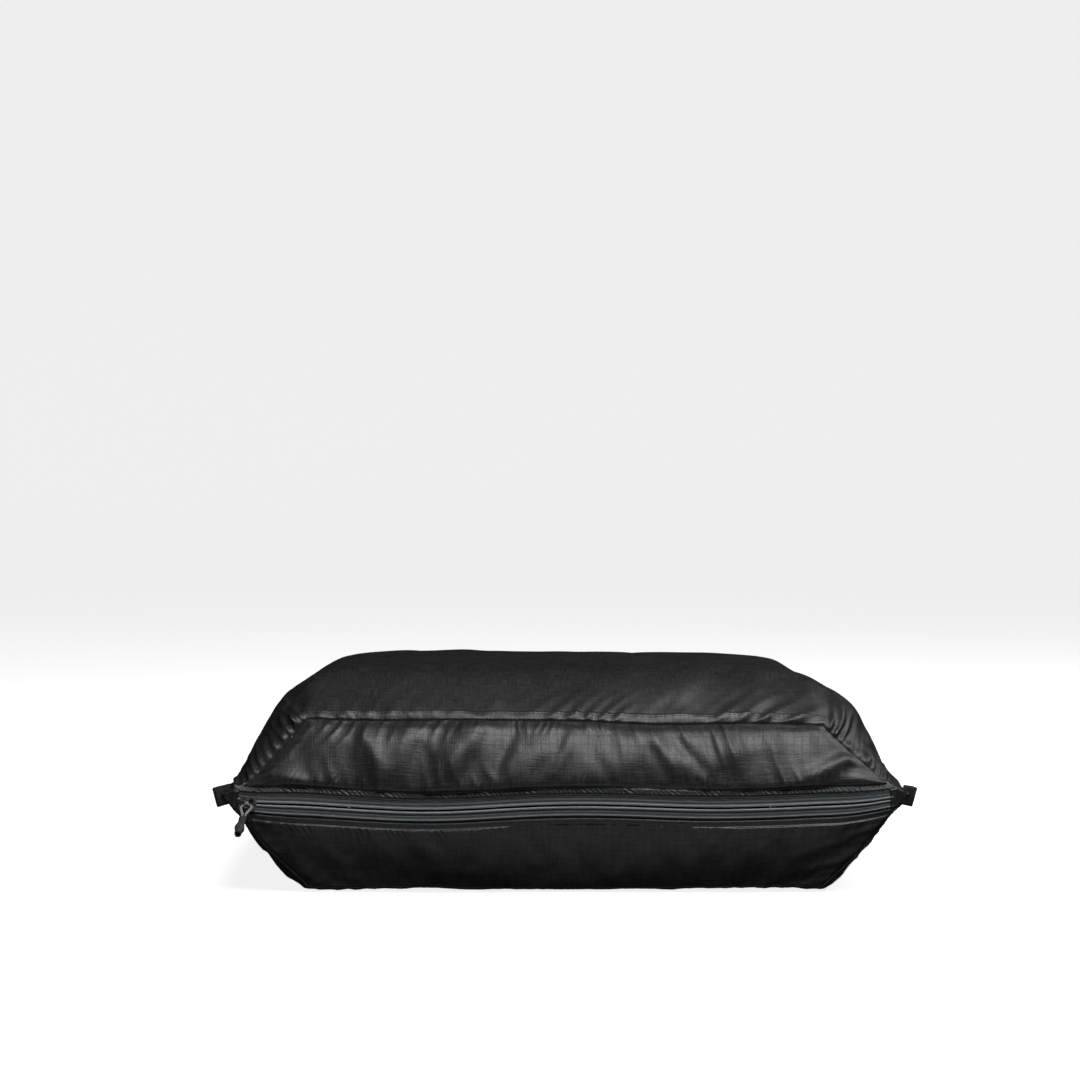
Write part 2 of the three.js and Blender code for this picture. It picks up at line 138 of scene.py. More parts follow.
LENS = 52.9
CAMERA_PLACE = (-0.016, -1.150, 0.2265)
WORLD_LIGHT = 0.004
FLOOR_GLOW = 0.85
LIGHTS = (
    # name, place, target, size, power
    ("softbox", (0.3, -0.85, 1.55), (0, 0, 0.08), (1.1, 0.6), 20),
    ("back_softbox", (-0.1, 1.0, 1.8), (0, 0, 0.08), (1.3, 0.7), 0.6),
    ("overhead", (0.1, -0.2, 1.7), (0, 0.05, 0.1), (1.2, 0.6), 1.0),
    ("side_left", (-1.5, -0.35, 0.9), (0, 0, 0.08), (0.6, 1.0), 1.2),
    ("floor_bounce", (0, -1.2, -0.7), (0, -0.15, 0.03), (2.0, 1.0), 3),
    ("back_fill", (0.2, 1.5, -0.3), (0, 0.15, 0.06), (1.2, 0.5), 5),
    ("side_right", (1.3, 0.2, 1.3), (0.15, 0, 0.08), (0.8, 0.8), 8),
)


# ---- Numbers -----------------------------------------------------------------

def mix(a, b, share):
    return a + (b - a) * share


def smooth(share):
    share = np.clip(share, 0, 1)
    return share * share * (3 - 2 * share)


def soft_min(a, b, rounding):
    overlap = np.maximum(rounding - np.abs(a - b), 0)
    return np.minimum(a, b) - overlap ** 2 / (4 * rounding)


def soft_max(a, b, rounding):
    return -soft_min(-a, -b, rounding)


def hills(x, y, size, seed):
    """Soft random hills from -1 to 1, about size across."""
    table = np.random.default_rng(seed).uniform(-1, 1, (64, 64))
    across, along = np.asarray(x, float) / size, np.asarray(y, float) / size
    i, j = np.floor(across).astype(int), np.floor(along).astype(int)
    u, v = smooth(across - i), smooth(along - j)

    def at(di, dj):
        return table[(i + di) % 64, (j + dj) % 64]

    return mix(mix(at(0, 0), at(1, 0), u), mix(at(0, 1), at(1, 1), u), v)


def length_along(points):
    """Distance along a line of points, from its start."""
    steps = np.linalg.norm(np.diff(points, axis=0), axis=1)
    return np.concatenate([[0], np.cumsum(steps)])


def normals_of(points, outward):
    """Unit normals of a grid of points. outward is 1 where rows x columns turn outwards, else -1."""
    across = np.gradient(points, axis=1)
    along = np.gradient(points, axis=0)
    normal = np.cross(across, along) * outward
    return normal / np.maximum(np.linalg.norm(normal, axis=2, keepdims=True), 1e-9)


def soften(field, passes):
    """A grid field, blurred."""
    for _ in range(passes):
        for axis in (0, 1):
            padded = np.concatenate([field.take([0], axis), field, field.take([-1], axis)], axis)
            count = field.shape[axis]
            field = (
                padded.take(range(count), axis)
                + 2 * padded.take(range(1, count + 1), axis)
                + padded.take(range(2, count + 2), axis)
            ) / 4
    return field


def resample(field, rows, columns):
    """A coarse grid field at fractional rows and columns, on smooth curves."""
    for axis, at in ((0, rows), (1, columns)):
        count = field.shape[axis]
        base = np.clip(np.floor(at).astype(int), 0, count - 2)
        f = at - base
        weights = [
            -0.5 * f + f ** 2 - 0.5 * f ** 3,
            1 - 2.5 * f ** 2 + 1.5 * f ** 3,
            0.5 * f + 2 * f ** 2 - 1.5 * f ** 3,
            -0.5 * f ** 2 + 0.5 * f ** 3,
        ]
        shape = [1] * field.ndim
        shape[axis] = len(at)
        field = sum(
            field.take(np.clip(base + step, 0, count - 1), axis) * weight.reshape(shape)
            for step, weight in zip((-1, 0, 1, 2), weights)
        )
    return field


# ---- Shape of the filled bag, as in the CAD source ---------------------------

def fullness(t):
    return 1 - np.maximum(0, (np.abs(t) - FULL_SHARE) / (1 - FULL_SHARE)) ** 2.5


def lean_back(rise, reach, back):
    return back * np.clip((rise - TAPE_HALF) / (reach - TAPE_HALF), 0, 1)


def ridge_x(t):
    return mix(CORNER_HALF, RIDGE_HALF, 1 - t * t)


def ridge_z(t):
    return mix(ZIP_Z, RIDGE_Z, fullness(t))


def panel_half(z):
    """Half length of an end panel at height z."""
    above = mix(CORNER_HALF, TOP_SEAM_HALF, (z - ZIP_Z) / (TOP_SEAM_Z - ZIP_Z))
    below = mix(CORNER_HALF, FOOT_SEAM_HALF, (ZIP_Z - z) / (ZIP_Z - FOOT_SEAM_Z))
    return np.where(z > ZIP_Z, above, below)


def wrap_x(q, t, edge_x):
    """q is -1 and 1 at the ridges and -FLAT and FLAT at the wrap's edges, edge_x from the middle."""
    outer = mix(edge_x, ridge_x(t), (np.abs(q) - FLAT) / (1 - FLAT))
    return np.sign(q) * np.where(np.abs(q) > FLAT, outer, np.abs(q) / FLAT * edge_x)


def top_skin(q, t):
    full = fullness(t)
    shoulder_x = mix(TOP_SEAM_HALF, SHOULDER_HALF, full)
    shoulder_z = mix(TOP_SEAM_Z, SHOULDER_Z, full)
    crown_z = mix(TOP_SEAM_Z, CROWN_Z, full)
    x = wrap_x(q, t, shoulder_x)
    up = (ridge_x(t) - np.abs(x)) / (ridge_x(t) - shoulder_x)
    side = mix(ridge_z(t), shoulder_z, up)
    fall = np.maximum(0, 2 * np.abs(x) / shoulder_x - 1) ** 2
    z = soft_min(side, mix(crown_z, shoulder_z, fall), mix(0.01, SHOULDER_ROUND, full))
    reach = TOP_SEAM_Z - ZIP_Z
    back = lean_back(np.minimum(up, 1) * reach, reach, TOP_SEAM_BACK)
    return np.stack([x, t * (DEPTH_HALF - back), z], axis=2)


def bottom_skin(q, t):
    full = fullness(t)
    foot_x = mix(FOOT_SEAM_HALF, FOOT_HALF, full)
    foot_z = FOOT_SEAM_Z * np.maximum(0, (np.abs(t) - FLOOR_SHARE) / (1 - FLOOR_SHARE)) ** 2
    x = wrap_x(q, t, foot_x)
    down = (ridge_x(t) - np.abs(x)) / (ridge_x(t) - foot_x)
    z = soft_max(mix(ridge_z(t), foot_z, down), foot_z, mix(0.01, FOOT_ROUND, full))
    reach = ZIP_Z - FOOT_SEAM_Z
    back = lean_back(np.minimum(down, 1) * reach, reach, FOOT_SEAM_BACK)
    return np.stack([x, t * (DEPTH_HALF - back), z], axis=2)


def end_depth(x, z, bulge):
    above = z > ZIP_Z
    reach = np.where(above, TOP_SEAM_Z - ZIP_Z, ZIP_Z - FOOT_SEAM_Z)
    rise = np.abs(z - ZIP_Z)
    up = np.clip((rise - TAPE_HALF) / (reach - TAPE_HALF), 0, 1)
    back = lean_back(rise, reach, np.where(above, TOP_SEAM_BACK, FOOT_SEAM_BACK))
    sides = 1 - np.abs(x / panel_half(z)) ** 4
    return DEPTH_HALF - back + bulge * 4 * up * (1 - up) * sides


def settle_shape(points):
    """The filled bag's own sags: the zip waves, the corners stand up and the shoulders are full."""
    x, y, z = points[..., 0], points[..., 1], points[..., 2]
    front = smooth((-y - 118) / 26)
    wave = sum(depth * np.exp(-((x - place) / reach) ** 2) for place, reach, depth in ZIP_SAGS)
    ends = smooth((200 - np.abs(x)) / 60)
    near_zip = 1 - smooth((np.abs(z - ZIP_Z) - 9) / 34)
    drop = wave * ends * near_zip * front
    to_corner = np.clip((np.abs(x) - CORNER_HALF + CORNER_LIFT_REACH) / CORNER_LIFT_REACH, 0, 1.1)
    level = (1 - smooth((z - 70) / 44)) * smooth((z - 16) / 36)
    near_end = smooth((np.abs(y) - 84) / 58)
    lift = CORNER_LIFT * to_corner ** np.where(x < 0, 4.0, 2.2) * level * near_end
    band = 1 - smooth((np.abs(z - ZIP_Z) - 11) / 22)
    lift -= CORNER_PINCH * (z - ZIP_Z) * smooth(to_corner) * band
    end = smooth((np.abs(y) - 100) / 24)
    side = np.where(y < 0, 0.0, 40.0)
    by_top, by_foot = (np.clip(1 - np.abs(z - seam) / 22, 0, 1) for seam in (TOP_SEAM_Z, FOOT_SEAM_Z))
    top = (1.3 * hills(x, side, 62, 5) - 0.012 * x) * by_top * end
    foot = 1.5 * (hills(x, side, 48, 8) - 0.4) * by_foot * end
    moved = points.copy()
    push = SHOULDER_FULL * (smooth((z - 88) / 34) - np.where(x > 0, 1.1, 0.0) * smooth((z - 112) / 18))
    moved[..., 0] = x + np.sign(x) * push * smooth((np.abs(x) - 60) / 90)
    moved[..., 2] = z - drop + lift + top + np.maximum(foot, 0.4 - FOOT_SEAM_Z)
    return moved


# ---- Camera, lights and floor ------------------------------------------------

def make_camera():
    data = bpy.data.cameras.new("camera")
    data.lens = LENS
    data.sensor_width = 36
    camera = bpy.data.objects.new("camera", data)
    camera.location = CAMERA_PLACE
    camera.rotation_euler = (math.radians(90), 0, 0)
    scene.collection.objects.link(camera)
    scene.camera = camera


def make_light(name, place, target, size, power):
    data = bpy.data.lights.new(name, "AREA")
    data.shape = "RECTANGLE"
    data.size, data.size_y = size
    data.energy = power
    light = bpy.data.objects.new(name, data)
    light.location = place
    light.visible_camera = False
    light.rotation_euler = (Vector(target) - Vector(place)).to_track_quat("-Z", "Y").to_euler()
    scene.collection.objects.link(light)


def make_studio():
    """Lights, and a white bowl as floor and wall. The bowl is left out of reflections and bounces."""
    scene.view_settings.view_transform = "Standard"
    world = bpy.data.worlds.new("studio")
    world.use_nodes = True
    world.node_tree.nodes["Background"].inputs["Color"].default_value = (1, 1, 1, 1)
    world.node_tree.nodes["Background"].inputs["Strength"].default_value = WORLD_LIGHT
    scene.world = world
    for light in LIGHTS:
        make_light(*light)

    radius, rise, bend, turns = 12.0, 5.0, 1.2, 64
    profile = [(0.5, 0), (radius - bend, 0)]
    profile += [
        (radius - bend + bend * math.sin(a), bend - bend * math.cos(a))
        for a in np.linspace(0, math.pi / 2, 12)[1:]
    ]
    profile.append((radius, rise))
    points = [
        (r * math.cos(a), r * math.sin(a), z)
        for r, z in profile
        for a in np.linspace(0, 2 * math.pi, turns, endpoint=False)
    ]
    faces = [*grid_faces(len(profile), turns, 1, closed=True), tuple(range(turns))]
    mesh = bpy.data.meshes.new("floor")
    mesh.from_pydata(points, [], faces)
    floor = bpy.data.objects.new("floor", mesh)
    scene.collection.objects.link(floor)
    paper = Material("floor_paper")
    paper.set("Base Color", (0.8, 0.8, 0.8, 1))
    paper.set("Roughness", 1.0)
    paper.set("Specular IOR Level", 0.0)
    paper.set("Emission Color", (1, 1, 1, 1))
    paper.set("Emission Strength", FLOOR_GLOW)
    mesh.materials.append(paper.material)
    floor.visible_glossy = False
    floor.visible_diffuse = False
    floor.visible_shadow = False


# ---- Materials ---------------------------------------------------------------

class Material:
    """A material, and short calls that add nodes to it and link them."""

    def __init__(self, name):
        self.material = bpy.data.materials.new(name)
        self.material.use_nodes = True
        self.tree = self.material.node_tree
        self.shader = self.tree.nodes["Principled BSDF"]

    def set(self, name, value):
        """A shader input, from a value or a node."""
        self.put(self.shader.inputs[name], value)

    def add(self, kind, inputs=(), **settings):
        made = self.tree.nodes.new(kind)
        for key, value in settings.items():
            setattr(made, key, value)
        for key, value in dict(inputs).items():
            self.put(made.inputs[key], value)
        return made

    def put(self, socket, value):
        if isinstance(value, bpy.types.NodeSocket):
            self.tree.links.new(value, socket)
        else:
            socket.default_value = value

    def math(self, operation, a, b=0.0, c=0.0):
        return self.add("ShaderNodeMath", {0: a, 1: b, 2: c}, operation=operation).outputs[0]

    def ramp(self, value, low, high, to_low=0.0, to_high=1.0):
        """Value between low and high, as a smooth step from to_low to to_high."""
        made = self.add(
            "ShaderNodeMapRange",
            {0: value, 1: low, 2: high, 3: to_low, 4: to_high},
            interpolation_type="SMOOTHSTEP",
        )
        return made.outputs[0]

    def blend(self, share, a, b):
        """Colour a at share 0 and b at share 1."""
        made = self.add("ShaderNodeMix", {"Factor": share}, data_type="RGBA")
        self.put(made.inputs[6], a)
        self.put(made.inputs[7], b)
        return made.outputs[2]

    def cloth_place(self):
        """(along, across) in mm on the flat cloth, and both as a vector."""
        made = self.add("ShaderNodeUVMap", uv_map="cloth").outputs[0]
        parts = self.add("ShaderNodeSeparateXYZ", {0: made})
        return parts.outputs[0], parts.outputs[1], made

    def streaks(self, place, along, across):
        """Noise drawn out to along by across mm."""
        scale = (1 / along, 1 / across, 1)
        drawn = self.add("ShaderNodeVectorMath", {0: place, 1: scale}, operation="MULTIPLY")
        return self.noise(drawn.outputs[0], 1.0, 1.0)

    def noise(self, place, size, detail=2.0):
        return self.add(
            "ShaderNodeTexNoise", {"Vector": place, "Scale": 1 / size, "Detail": detail}
        ).outputs[0]

    def wave(self, place, pitch):
        """From -1 to 1 along place, once each pitch."""
        return self.math("SINE", self.math("MULTIPLY", place, 2 * math.pi / pitch))

    def ribs(self, place, pitch):
        """From 0 to 1 along place, once each pitch."""
        return self.math("MULTIPLY_ADD", self.wave(place, pitch), 0.5, 0.5)

    def bump(self, height, strength):
        """height is in mm."""
        return self.add(
            "ShaderNodeBump", {"Height": height, "Strength": strength, "Distance": MM}
        ).outputs[0]


def ripstop_material():
    """Thin black ripstop nylon: a plain weave with a thicker yarn every few mm, and a silky sheen."""
    n = Material("ripstop_fabric")
    along, across, place = n.cloth_place()
    half = RIPSTOP_GRID / 2
    lines = [
        n.ramp(n.math("PINGPONG", value, half), 0.12, 0.34, 1.0, 0.0)
        for value in (along, across)
    ]
    yarn = n.math("MAXIMUM", lines[0], lines[1])
    weave = n.math("MULTIPLY", n.wave(along, 0.56), n.wave(across, 0.56))
    cloudy = n.noise(place, 38)
    crinkle = n.noise(place, 5.5, 4.0)
    fine = n.noise(place, 1.3, 2.0)
    weft = n.streaks(place, 11.0, 0.9)
    warp = n.streaks(place, 0.9, 11.0)
    slubs = n.math("ADD", weft, warp)
    shade = n.blend(cloudy, (0.006, 0.0058, 0.006, 1), (0.0115, 0.0115, 0.0125, 1))
    shade = n.blend(n.ramp(slubs, 0.85, 1.3), shade, (0.028, 0.028, 0.030, 1))
    shade = n.blend(n.math("MULTIPLY", yarn, 0.28), shade, (0.003, 0.003, 0.0035, 1))
    # Paler on sharp ridges and folds: partly edge wear, partly a painted sheen where light catches the
    # ridges.
    edge = n.ramp(n.add("ShaderNodeNewGeometry").outputs["Pointiness"], 0.53, 0.62)
    pale_edges = n.math("MULTIPLY", edge, n.ramp(fine, 0.45, 0.7, 0.1, 0.5))
    shade = n.blend(pale_edges, shade, (0.05, 0.05, 0.053, 1))
    n.set("Base Color", shade)
    gloss = n.math("MULTIPLY_ADD", cloudy, 0.16, 0.31)
    gloss = n.math("MULTIPLY_ADD", yarn, 0.07, gloss)
    gloss = n.math("MULTIPLY_ADD", crinkle, 0.08, gloss)
    n.set("Roughness", gloss)
    height = n.math("MULTIPLY_ADD", yarn, 0.03, n.math("MULTIPLY", weave, 0.012))
    height = n.math("MULTIPLY_ADD", crinkle, 0.13, height)
    height = n.math("MULTIPLY_ADD", fine, 0.035, height)
    height = n.math("MULTIPLY_ADD", slubs, 0.12, height)
    n.set("Normal", n.bump(height, 0.8))
    n.set("Specular IOR Level", 0.62)
    n.set("Sheen Weight", 0.01)
    n.set("Sheen Roughness", 0.4)
    n.set("Sheen Tint", (0.75, 0.78, 0.82, 1))
    return n.material


def mottled_material(name, size, dark, light, roughness, height, strength):
    """A plain material, mottled from dark to light at size metres."""
    n = Material(name)
    mottle = n.noise(n.add("ShaderNodeTexCoord").outputs["Object"], size, 3.0)
    n.set("Base Color", n.blend(mottle, dark, light))
    n.set("Roughness", n.ramp(mottle, 0.2, 0.8, *roughness))
    n.set("Normal", n.bump(n.math("MULTIPLY", mottle, height), strength))
    return n.material


def zip_tape_material():
    """Slate grey woven tape with a fine slanting rib, paler lines along it, and a painted highlight on its
    ridges.
    """
    n = Material("zip_tape_weave")
    along, across, place = n.cloth_place()
    slant = n.math("MULTIPLY_ADD", n.math("PINGPONG", across, 0.7), 0.8, along)
    rib = n.ribs(slant, 0.8)
    row = n.ribs(across, 1.7)
    cloudy = n.noise(place, 16)
    wear = n.noise(place, 2.2, 4.0)
    shade = n.blend(rib, (0.026, 0.030, 0.034, 1), (0.110, 0.128, 0.139, 1))
    shade = n.blend(n.math("MULTIPLY", cloudy, 0.45), shade, (0.022, 0.026, 0.029, 1))
    shade = n.blend(n.ramp(wear, 0.56, 0.75, 0.0, 0.35), shade, (0.19, 0.21, 0.22, 1))
    shade = n.blend(n.ramp(row, 0.6, 0.95, 0.0, 0.32), shade, (0.28, 0.31, 0.33, 1))
    # Painted highlight: the tape is made pale silver on its sharp ridges over the coil.
    ridge = n.ramp(n.add("ShaderNodeNewGeometry").outputs["Pointiness"], 0.505, 0.54)
    shade = n.blend(n.math("MULTIPLY", ridge, 0.85), shade, (0.62, 0.67, 0.69, 1))
    n.set("Base Color", shade)
    n.set("Roughness", n.math("MULTIPLY_ADD", wear, 0.2, 0.27))
    height = n.math("MULTIPLY_ADD", rib, 0.2, n.math("MULTIPLY", row, 0.14))
    n.set("Normal", n.bump(height, 0.9))
    n.set("Sheen Weight", 0.2)
    n.set("Sheen Roughness", 0.35)
    return n.material


def webbing_material():
    """Black narrow webbing: a herringbone of flat yarns and firm edges."""
    n = Material("webbing_weave")
    along, across, place = n.cloth_place()
    chevron = n.math("MULTIPLY_ADD", n.math("PINGPONG", across, 1.6), 0.9, along)
    yarn = n.ribs(chevron, 0.9)
    rib = n.ribs(across, 1.6)
    fuzz = n.noise(place, 0.7, 4.0)
    shade = n.blend(yarn, (0.006, 0.006, 0.0065, 1), (0.022, 0.022, 0.024, 1))
    shade = n.blend(n.ramp(fuzz, 0.55, 0.8, 0.0, 0.5), shade, (0.045, 0.045, 0.047, 1))
    n.set("Base Color", shade)
    n.set("Roughness", n.math("MULTIPLY_ADD", fuzz, 0.3, 0.5))
    height = n.math("MULTIPLY_ADD", yarn, 0.16, n.math("MULTIPLY", rib, 0.12))
    n.set("Normal", n.bump(n.math("MULTIPLY_ADD", fuzz, 0.06, height), 0.9))
    n.set("Sheen Weight", 0.06)
    n.set("Sheen Roughness", 0.5)
    return n.material


def binding_material():
    """Soft black binding tape with a grosgrain rib."""
    n = Material("binding_tape")
    along, _, place = n.cloth_place()
    rib = n.ribs(along, 0.9)
    fuzz = n.noise(place, 1.5, 4.0)
    n.set("Base Color", n.blend(rib, (0.006, 0.006, 0.006, 1), (0.018, 0.018, 0.019, 1)))
    n.set("Roughness", n.math("MULTIPLY_ADD", fuzz, 0.3, 0.6))
    height = n.math("MULTIPLY_ADD", fuzz, 0.05, n.math("MULTIPLY", rib, 0.1))
    n.set("Normal", n.bump(height, 0.8))
    return n.material


def metal_material():
    """Black painted zinc, worn bright along its edges."""
    n = Material("slider_paint")
    place = n.add("ShaderNodeTexCoord").outputs["Object"]
    scuff = n.noise(place, 0.0018, 5.0)
    edge = n.ramp(n.add("ShaderNodeNewGeometry").outputs["Pointiness"], 0.52, 0.58)
    pale_edges = n.math("MULTIPLY", edge, n.ramp(scuff, 0.4, 0.6, 0.1, 0.7))
    n.set("Base Color", n.blend(pale_edges, (0.018, 0.018, 0.019, 1), (0.42, 0.42, 0.41, 1)))
    n.set("Roughness", n.ramp(scuff, 0.3, 0.8, 0.2, 0.42))
    n.set("Normal", n.bump(n.math("MULTIPLY", scuff, 0.03), 0.5))
    n.set("Metallic", 0.75)
    return n.material


def cord_material():
    """Black braided cord with reflective flecks."""
    n = Material("flecked_cord_braid")
    along, across, _ = n.cloth_place()
    one = n.wave(n.math("ADD", along, across), 1.15)
    other = n.wave(n.math("SUBTRACT", along, across), 1.15)
    strand = n.math("MAXIMUM", one, other)
    fleck = n.math("MULTIPLY", n.ramp(one, -0.35, 0.2), n.ramp(n.wave(along, 2.3), -0.6, 0.0))
    n.set("Base Color", n.blend(fleck, (0.05, 0.05, 0.051, 1), (0.9, 0.9, 0.88, 1)))
    n.set("Roughness", n.ramp(fleck, 0.0, 1.0, 0.6, 0.32))
    n.set("Normal", n.bump(n.math("MULTIPLY", strand, 0.12), 0.9))
    return n.material


def grip_material():
    """Grey heat-shrunk tube, with the cord faintly showing through."""
    n = Material("grip_tube_plastic")
    place = n.add("ShaderNodeTexCoord").outputs["Object"]
    cloudy = n.noise(place, 0.006, 3.0)
    speck = n.noise(place, 0.0008, 3.0)
    shade = n.blend(cloudy, (0.028, 0.029, 0.031, 1), (0.06, 0.062, 0.065, 1))
    shade = n.blend(n.ramp(speck, 0.62, 0.75, 0.0, 0.5), shade, (0.2, 0.2, 0.2, 1))
    n.set("Base Color", shade)
    n.set("Roughness", n.ramp(cloudy, 0.2, 0.8, 0.35, 0.55))
    n.set("Normal", n.bump(n.math("MULTIPLY", cloudy, 0.3), 0.7))
    return n.material


# ---- Meshes ------------------------------------------------------------------

def mesh_object(name, points, faces, material, cloth=None):
    """points in mm, cloth the (along, across) place of each point on the flat cloth, in mm."""
    mesh = bpy.data.meshes.new(name)
    mesh.from_pydata((np.asarray(points) * MM).tolist(), [], faces)
    mesh.materials.append(material)
    mesh.shade_smooth()
    if cloth is not None:
        corners = np.zeros(len(mesh.loops), np.int32)
        mesh.loops.foreach_get("vertex_index", corners)
        layer = mesh.uv_layers.new(name="cloth")
        layer.data.foreach_set("uv", np.asarray(cloth, np.float32)[corners].ravel())
    made = bpy.data.objects.new(name, mesh)
    scene.collection.objects.link(made)
    return made


def cloth_grid(along, across):
    """The places on the flat cloth of a grid of points."""
    return np.stack(np.broadcast_arrays(along[:, None], across[None, :]), axis=2).reshape(-1, 2)


def grid_faces(rows, columns, outward=1, closed=False):
    faces = []
    for row in range(rows - 1):
        for column in range(columns if closed else columns - 1):
            a = row * columns + column
            b = row * columns + (column + 1) % columns
            quad = (a, b, b + columns, a + columns)
            faces.append(quad if outward > 0 else quad[::-1])
    return faces


def sheet_object(name, points, cloth, material, outward=1):
    rows, columns = points.shape[:2]
    return mesh_object(
        name, points.reshape(-1, 3), grid_faces(rows, columns, outward), material, cloth.reshape(-1, 2)
    )


def frames_along(path, up_hint):
    """Side and up unit vectors at each point of a path, with up kept near up_hint."""
    forward = np.gradient(path, axis=0)
    forward /= np.linalg.norm(forward, axis=1, keepdims=True)
    hint = np.broadcast_to(np.asarray(up_hint, float), path.shape)
    side = np.cross(forward, hint)
    side /= np.linalg.norm(side, axis=1, keepdims=True)
    return side, np.cross(side, forward)


def swept(name, path, up_hint, section, material):
    """A closed section, points (side, up) in mm, swept along a path."""
    path = np.asarray(path, float)
    side, up = frames_along(path, up_hint)
    rings = np.stack([path + side * a + up * b for a, b in section], axis=1)
    count = len(section)
    faces = grid_faces(len(path), count, -1, closed=True)
    last = (len(path) - 1) * count
    faces.append(tuple(range(count)))
    faces.append(tuple(range(last + count - 1, last - 1, -1)))
    run = length_along(path)
    girth = length_along(np.asarray([*section, section[0]], float))[:-1]
    cloth = cloth_grid(run, girth)
    return mesh_object(name, rings.reshape(-1, 3), faces, material, cloth)


def round_section(width, thickness, steps=3):
    """A flat band's section with rounded edges, as (side, up) points."""
    radius = thickness / 2
    flat = width / 2 - radius
    arc = np.linspace(-math.pi / 2, math.pi / 2, steps + 2)
    right = [(flat + radius * math.cos(a), radius * math.sin(a)) for a in arc]
    return right + [(-x, -y) for x, y in right]


def circle_section(radius, steps=8):
    return [
        (radius * math.cos(a), radius * math.sin(a))
        for a in np.linspace(0, 2 * math.pi, steps, endpoint=False)
    ]


def stitches(line, normal):
    """Points and faces of a row of stitches laid on a line of points with normals."""
    run = length_along(line)
    points, faces = [], []
    stations = np.array([-0.5, -0.42, -0.2, 0.2, 0.42, 0.5]) * STITCH_LENGTH
    lift = np.array([-1.0, 0.15, 0.75, 0.75, 0.15, -1.0]) * THREAD * 0.5
    sizes = np.array([0.55, 0.95, 1, 1, 0.95, 0.55]) * THREAD / 2
    for middle in np.arange(STITCH_PITCH, run[-1] - STITCH_PITCH / 2, STITCH_PITCH):
        at = np.array([[np.interp(middle + s, run, line[:, k]) for k in range(3)] for s in stations])
        up = np.array([np.interp(middle, run, normal[:, k]) for k in range(3)])
        forward = at[-1] - at[0]
        forward /= np.linalg.norm(forward)
        side = np.cross(forward, up)
        side /= np.linalg.norm(side)
        up = np.cross(side, forward)
        start = len(points)
        for centre, high, size in zip(at, lift, sizes):
            for a in np.linspace(0, 2 * math.pi, THREAD_SIDES, endpoint=False):
                rise = high - THREAD_SINK + size * math.sin(a)
                points.append(centre + up * rise + side * size * math.cos(a))
        for face in grid_faces(len(stations), THREAD_SIDES, -1, closed=True):
            faces.append(tuple(start + i for i in face))
        faces.append(tuple(start + i for i in range(THREAD_SIDES)))
        last = start + THREAD_SIDES * (len(stations) - 1)
        faces.append(tuple(last + i for i in reversed(range(THREAD_SIDES))))
    return points, faces


def stitch_object(name, rows, material):
    """One object of several rows of stitches, each (line, normals)."""
    points, faces = [], []
    for line, normal in rows:
        more, quads = stitches(line, normal)
        faces += [tuple(len(points) + i for i in quad) for quad in quads]
        points += more
    return mesh_object(name, points, faces, material)


# ---- Cloth simulation --------------------------------------------------------

def crumple(base, outward, swell, pressure, frames, seed):
    """Moves of a sewn-in panel's points when cloth a little too large for its seams settles, in mm.

    The panel is pinned round its outline, and its cloth grows by the share swell, so it buckles as real cloth
    does beside gathered seams. Only the folds are kept: the broad swelling comes from the bag's own shape.
    """
    rows, columns = base.shape[:2]
    normal = normals_of(base, outward)
    x, y = base[..., 0] + base[..., 2] * 0.7, base[..., 1] + base[..., 2] * 0.4
    start = base + normal * (0.35 * hills(x, y, 13, seed))[..., None]
    start[0], start[-1], start[:, 0], start[:, -1] = base[0], base[-1], base[:, 0], base[:, -1]
    made = mesh_object("settling", start.reshape(-1, 3), grid_faces(rows, columns, outward), thread)
    pinned = np.zeros((rows, columns), bool)
    pinned[0] = pinned[-1] = True
    pinned[:, 0] = pinned[:, -1] = True
    group = made.vertex_groups.new(name="sewn")
    group.add(np.flatnonzero(pinned).tolist(), 1.0, "REPLACE")
    cloth = made.modifiers.new("cloth", "CLOTH")
    settings = cloth.settings
    settings.vertex_group_mass = "sewn"
    settings.quality = 5
    settings.mass = 0.2
    settings.air_damping = 2
    settings.tension_stiffness = 12
    settings.compression_stiffness = 12
    settings.shear_stiffness = 6
    settings.bending_stiffness = 0.02
    settings.shrink_min = -swell
    settings.use_pressure = True
    settings.uniform_pressure_force = pressure
    settings.effector_weights.gravity = 0
    cloth.collision_settings.use_collision = False
    cloth.collision_settings.use_self_collision = False
    cloth.point_cache.frame_start = 1
    cloth.point_cache.frame_end = frames
    for step in range(1, frames + 1):
        scene.frame_set(step)
    settled = made.evaluated_get(bpy.context.evaluated_depsgraph_get()).data
    flat = np.zeros(rows * columns * 3, np.float32)
    settled.vertices.foreach_get("co", flat)
    moved = flat.reshape(rows, columns, 3).astype(float) / MM - base
    scene.frame_set(1)
    bpy.data.objects.remove(made)
    return moved


def folds_of(moved, fine, broad, cap):
    """The folds in a settled panel's moves, without its crinkles and broad swelling, no higher than cap."""
    kept = soften(moved, fine) - soften(moved, broad)
    size = np.linalg.norm(kept, axis=2, keepdims=True)
    return kept * cap * np.tanh(size / cap) / np.maximum(size, 1e-9)


def panel_folds(skin, v_line, u_line, counts, outward, swell, pressure, frames, seed, blurs, cap):
    """The simulated folds of the panel skin(u, v), at the crossings of v_line and u_line.

    The simulation runs on an even grid of counts rows and columns. blurs are how far the folds are softened
    to lose the crinkles, and to find the broad swelling that is taken away.
    """
    v_even = np.linspace(v_line[0], v_line[-1], counts[0])
    u_even = np.linspace(u_line[0], u_line[-1], counts[1])
    v_grid, u_grid = np.meshgrid(v_even, u_even, indexing="ij")
    moved = crumple(skin(u_grid, v_grid), outward, swell, pressure, frames, seed)
    rows = (v_line - v_line[0]) / (v_line[-1] - v_line[0]) * (counts[0] - 1)
    columns = (u_line - u_line[0]) / (u_line[-1] - u_line[0]) * (counts[1] - 1)
    return resample(folds_of(moved, *blurs, cap), rows, columns)


# ---- Folds drawn beside the seams --------------------------------------------

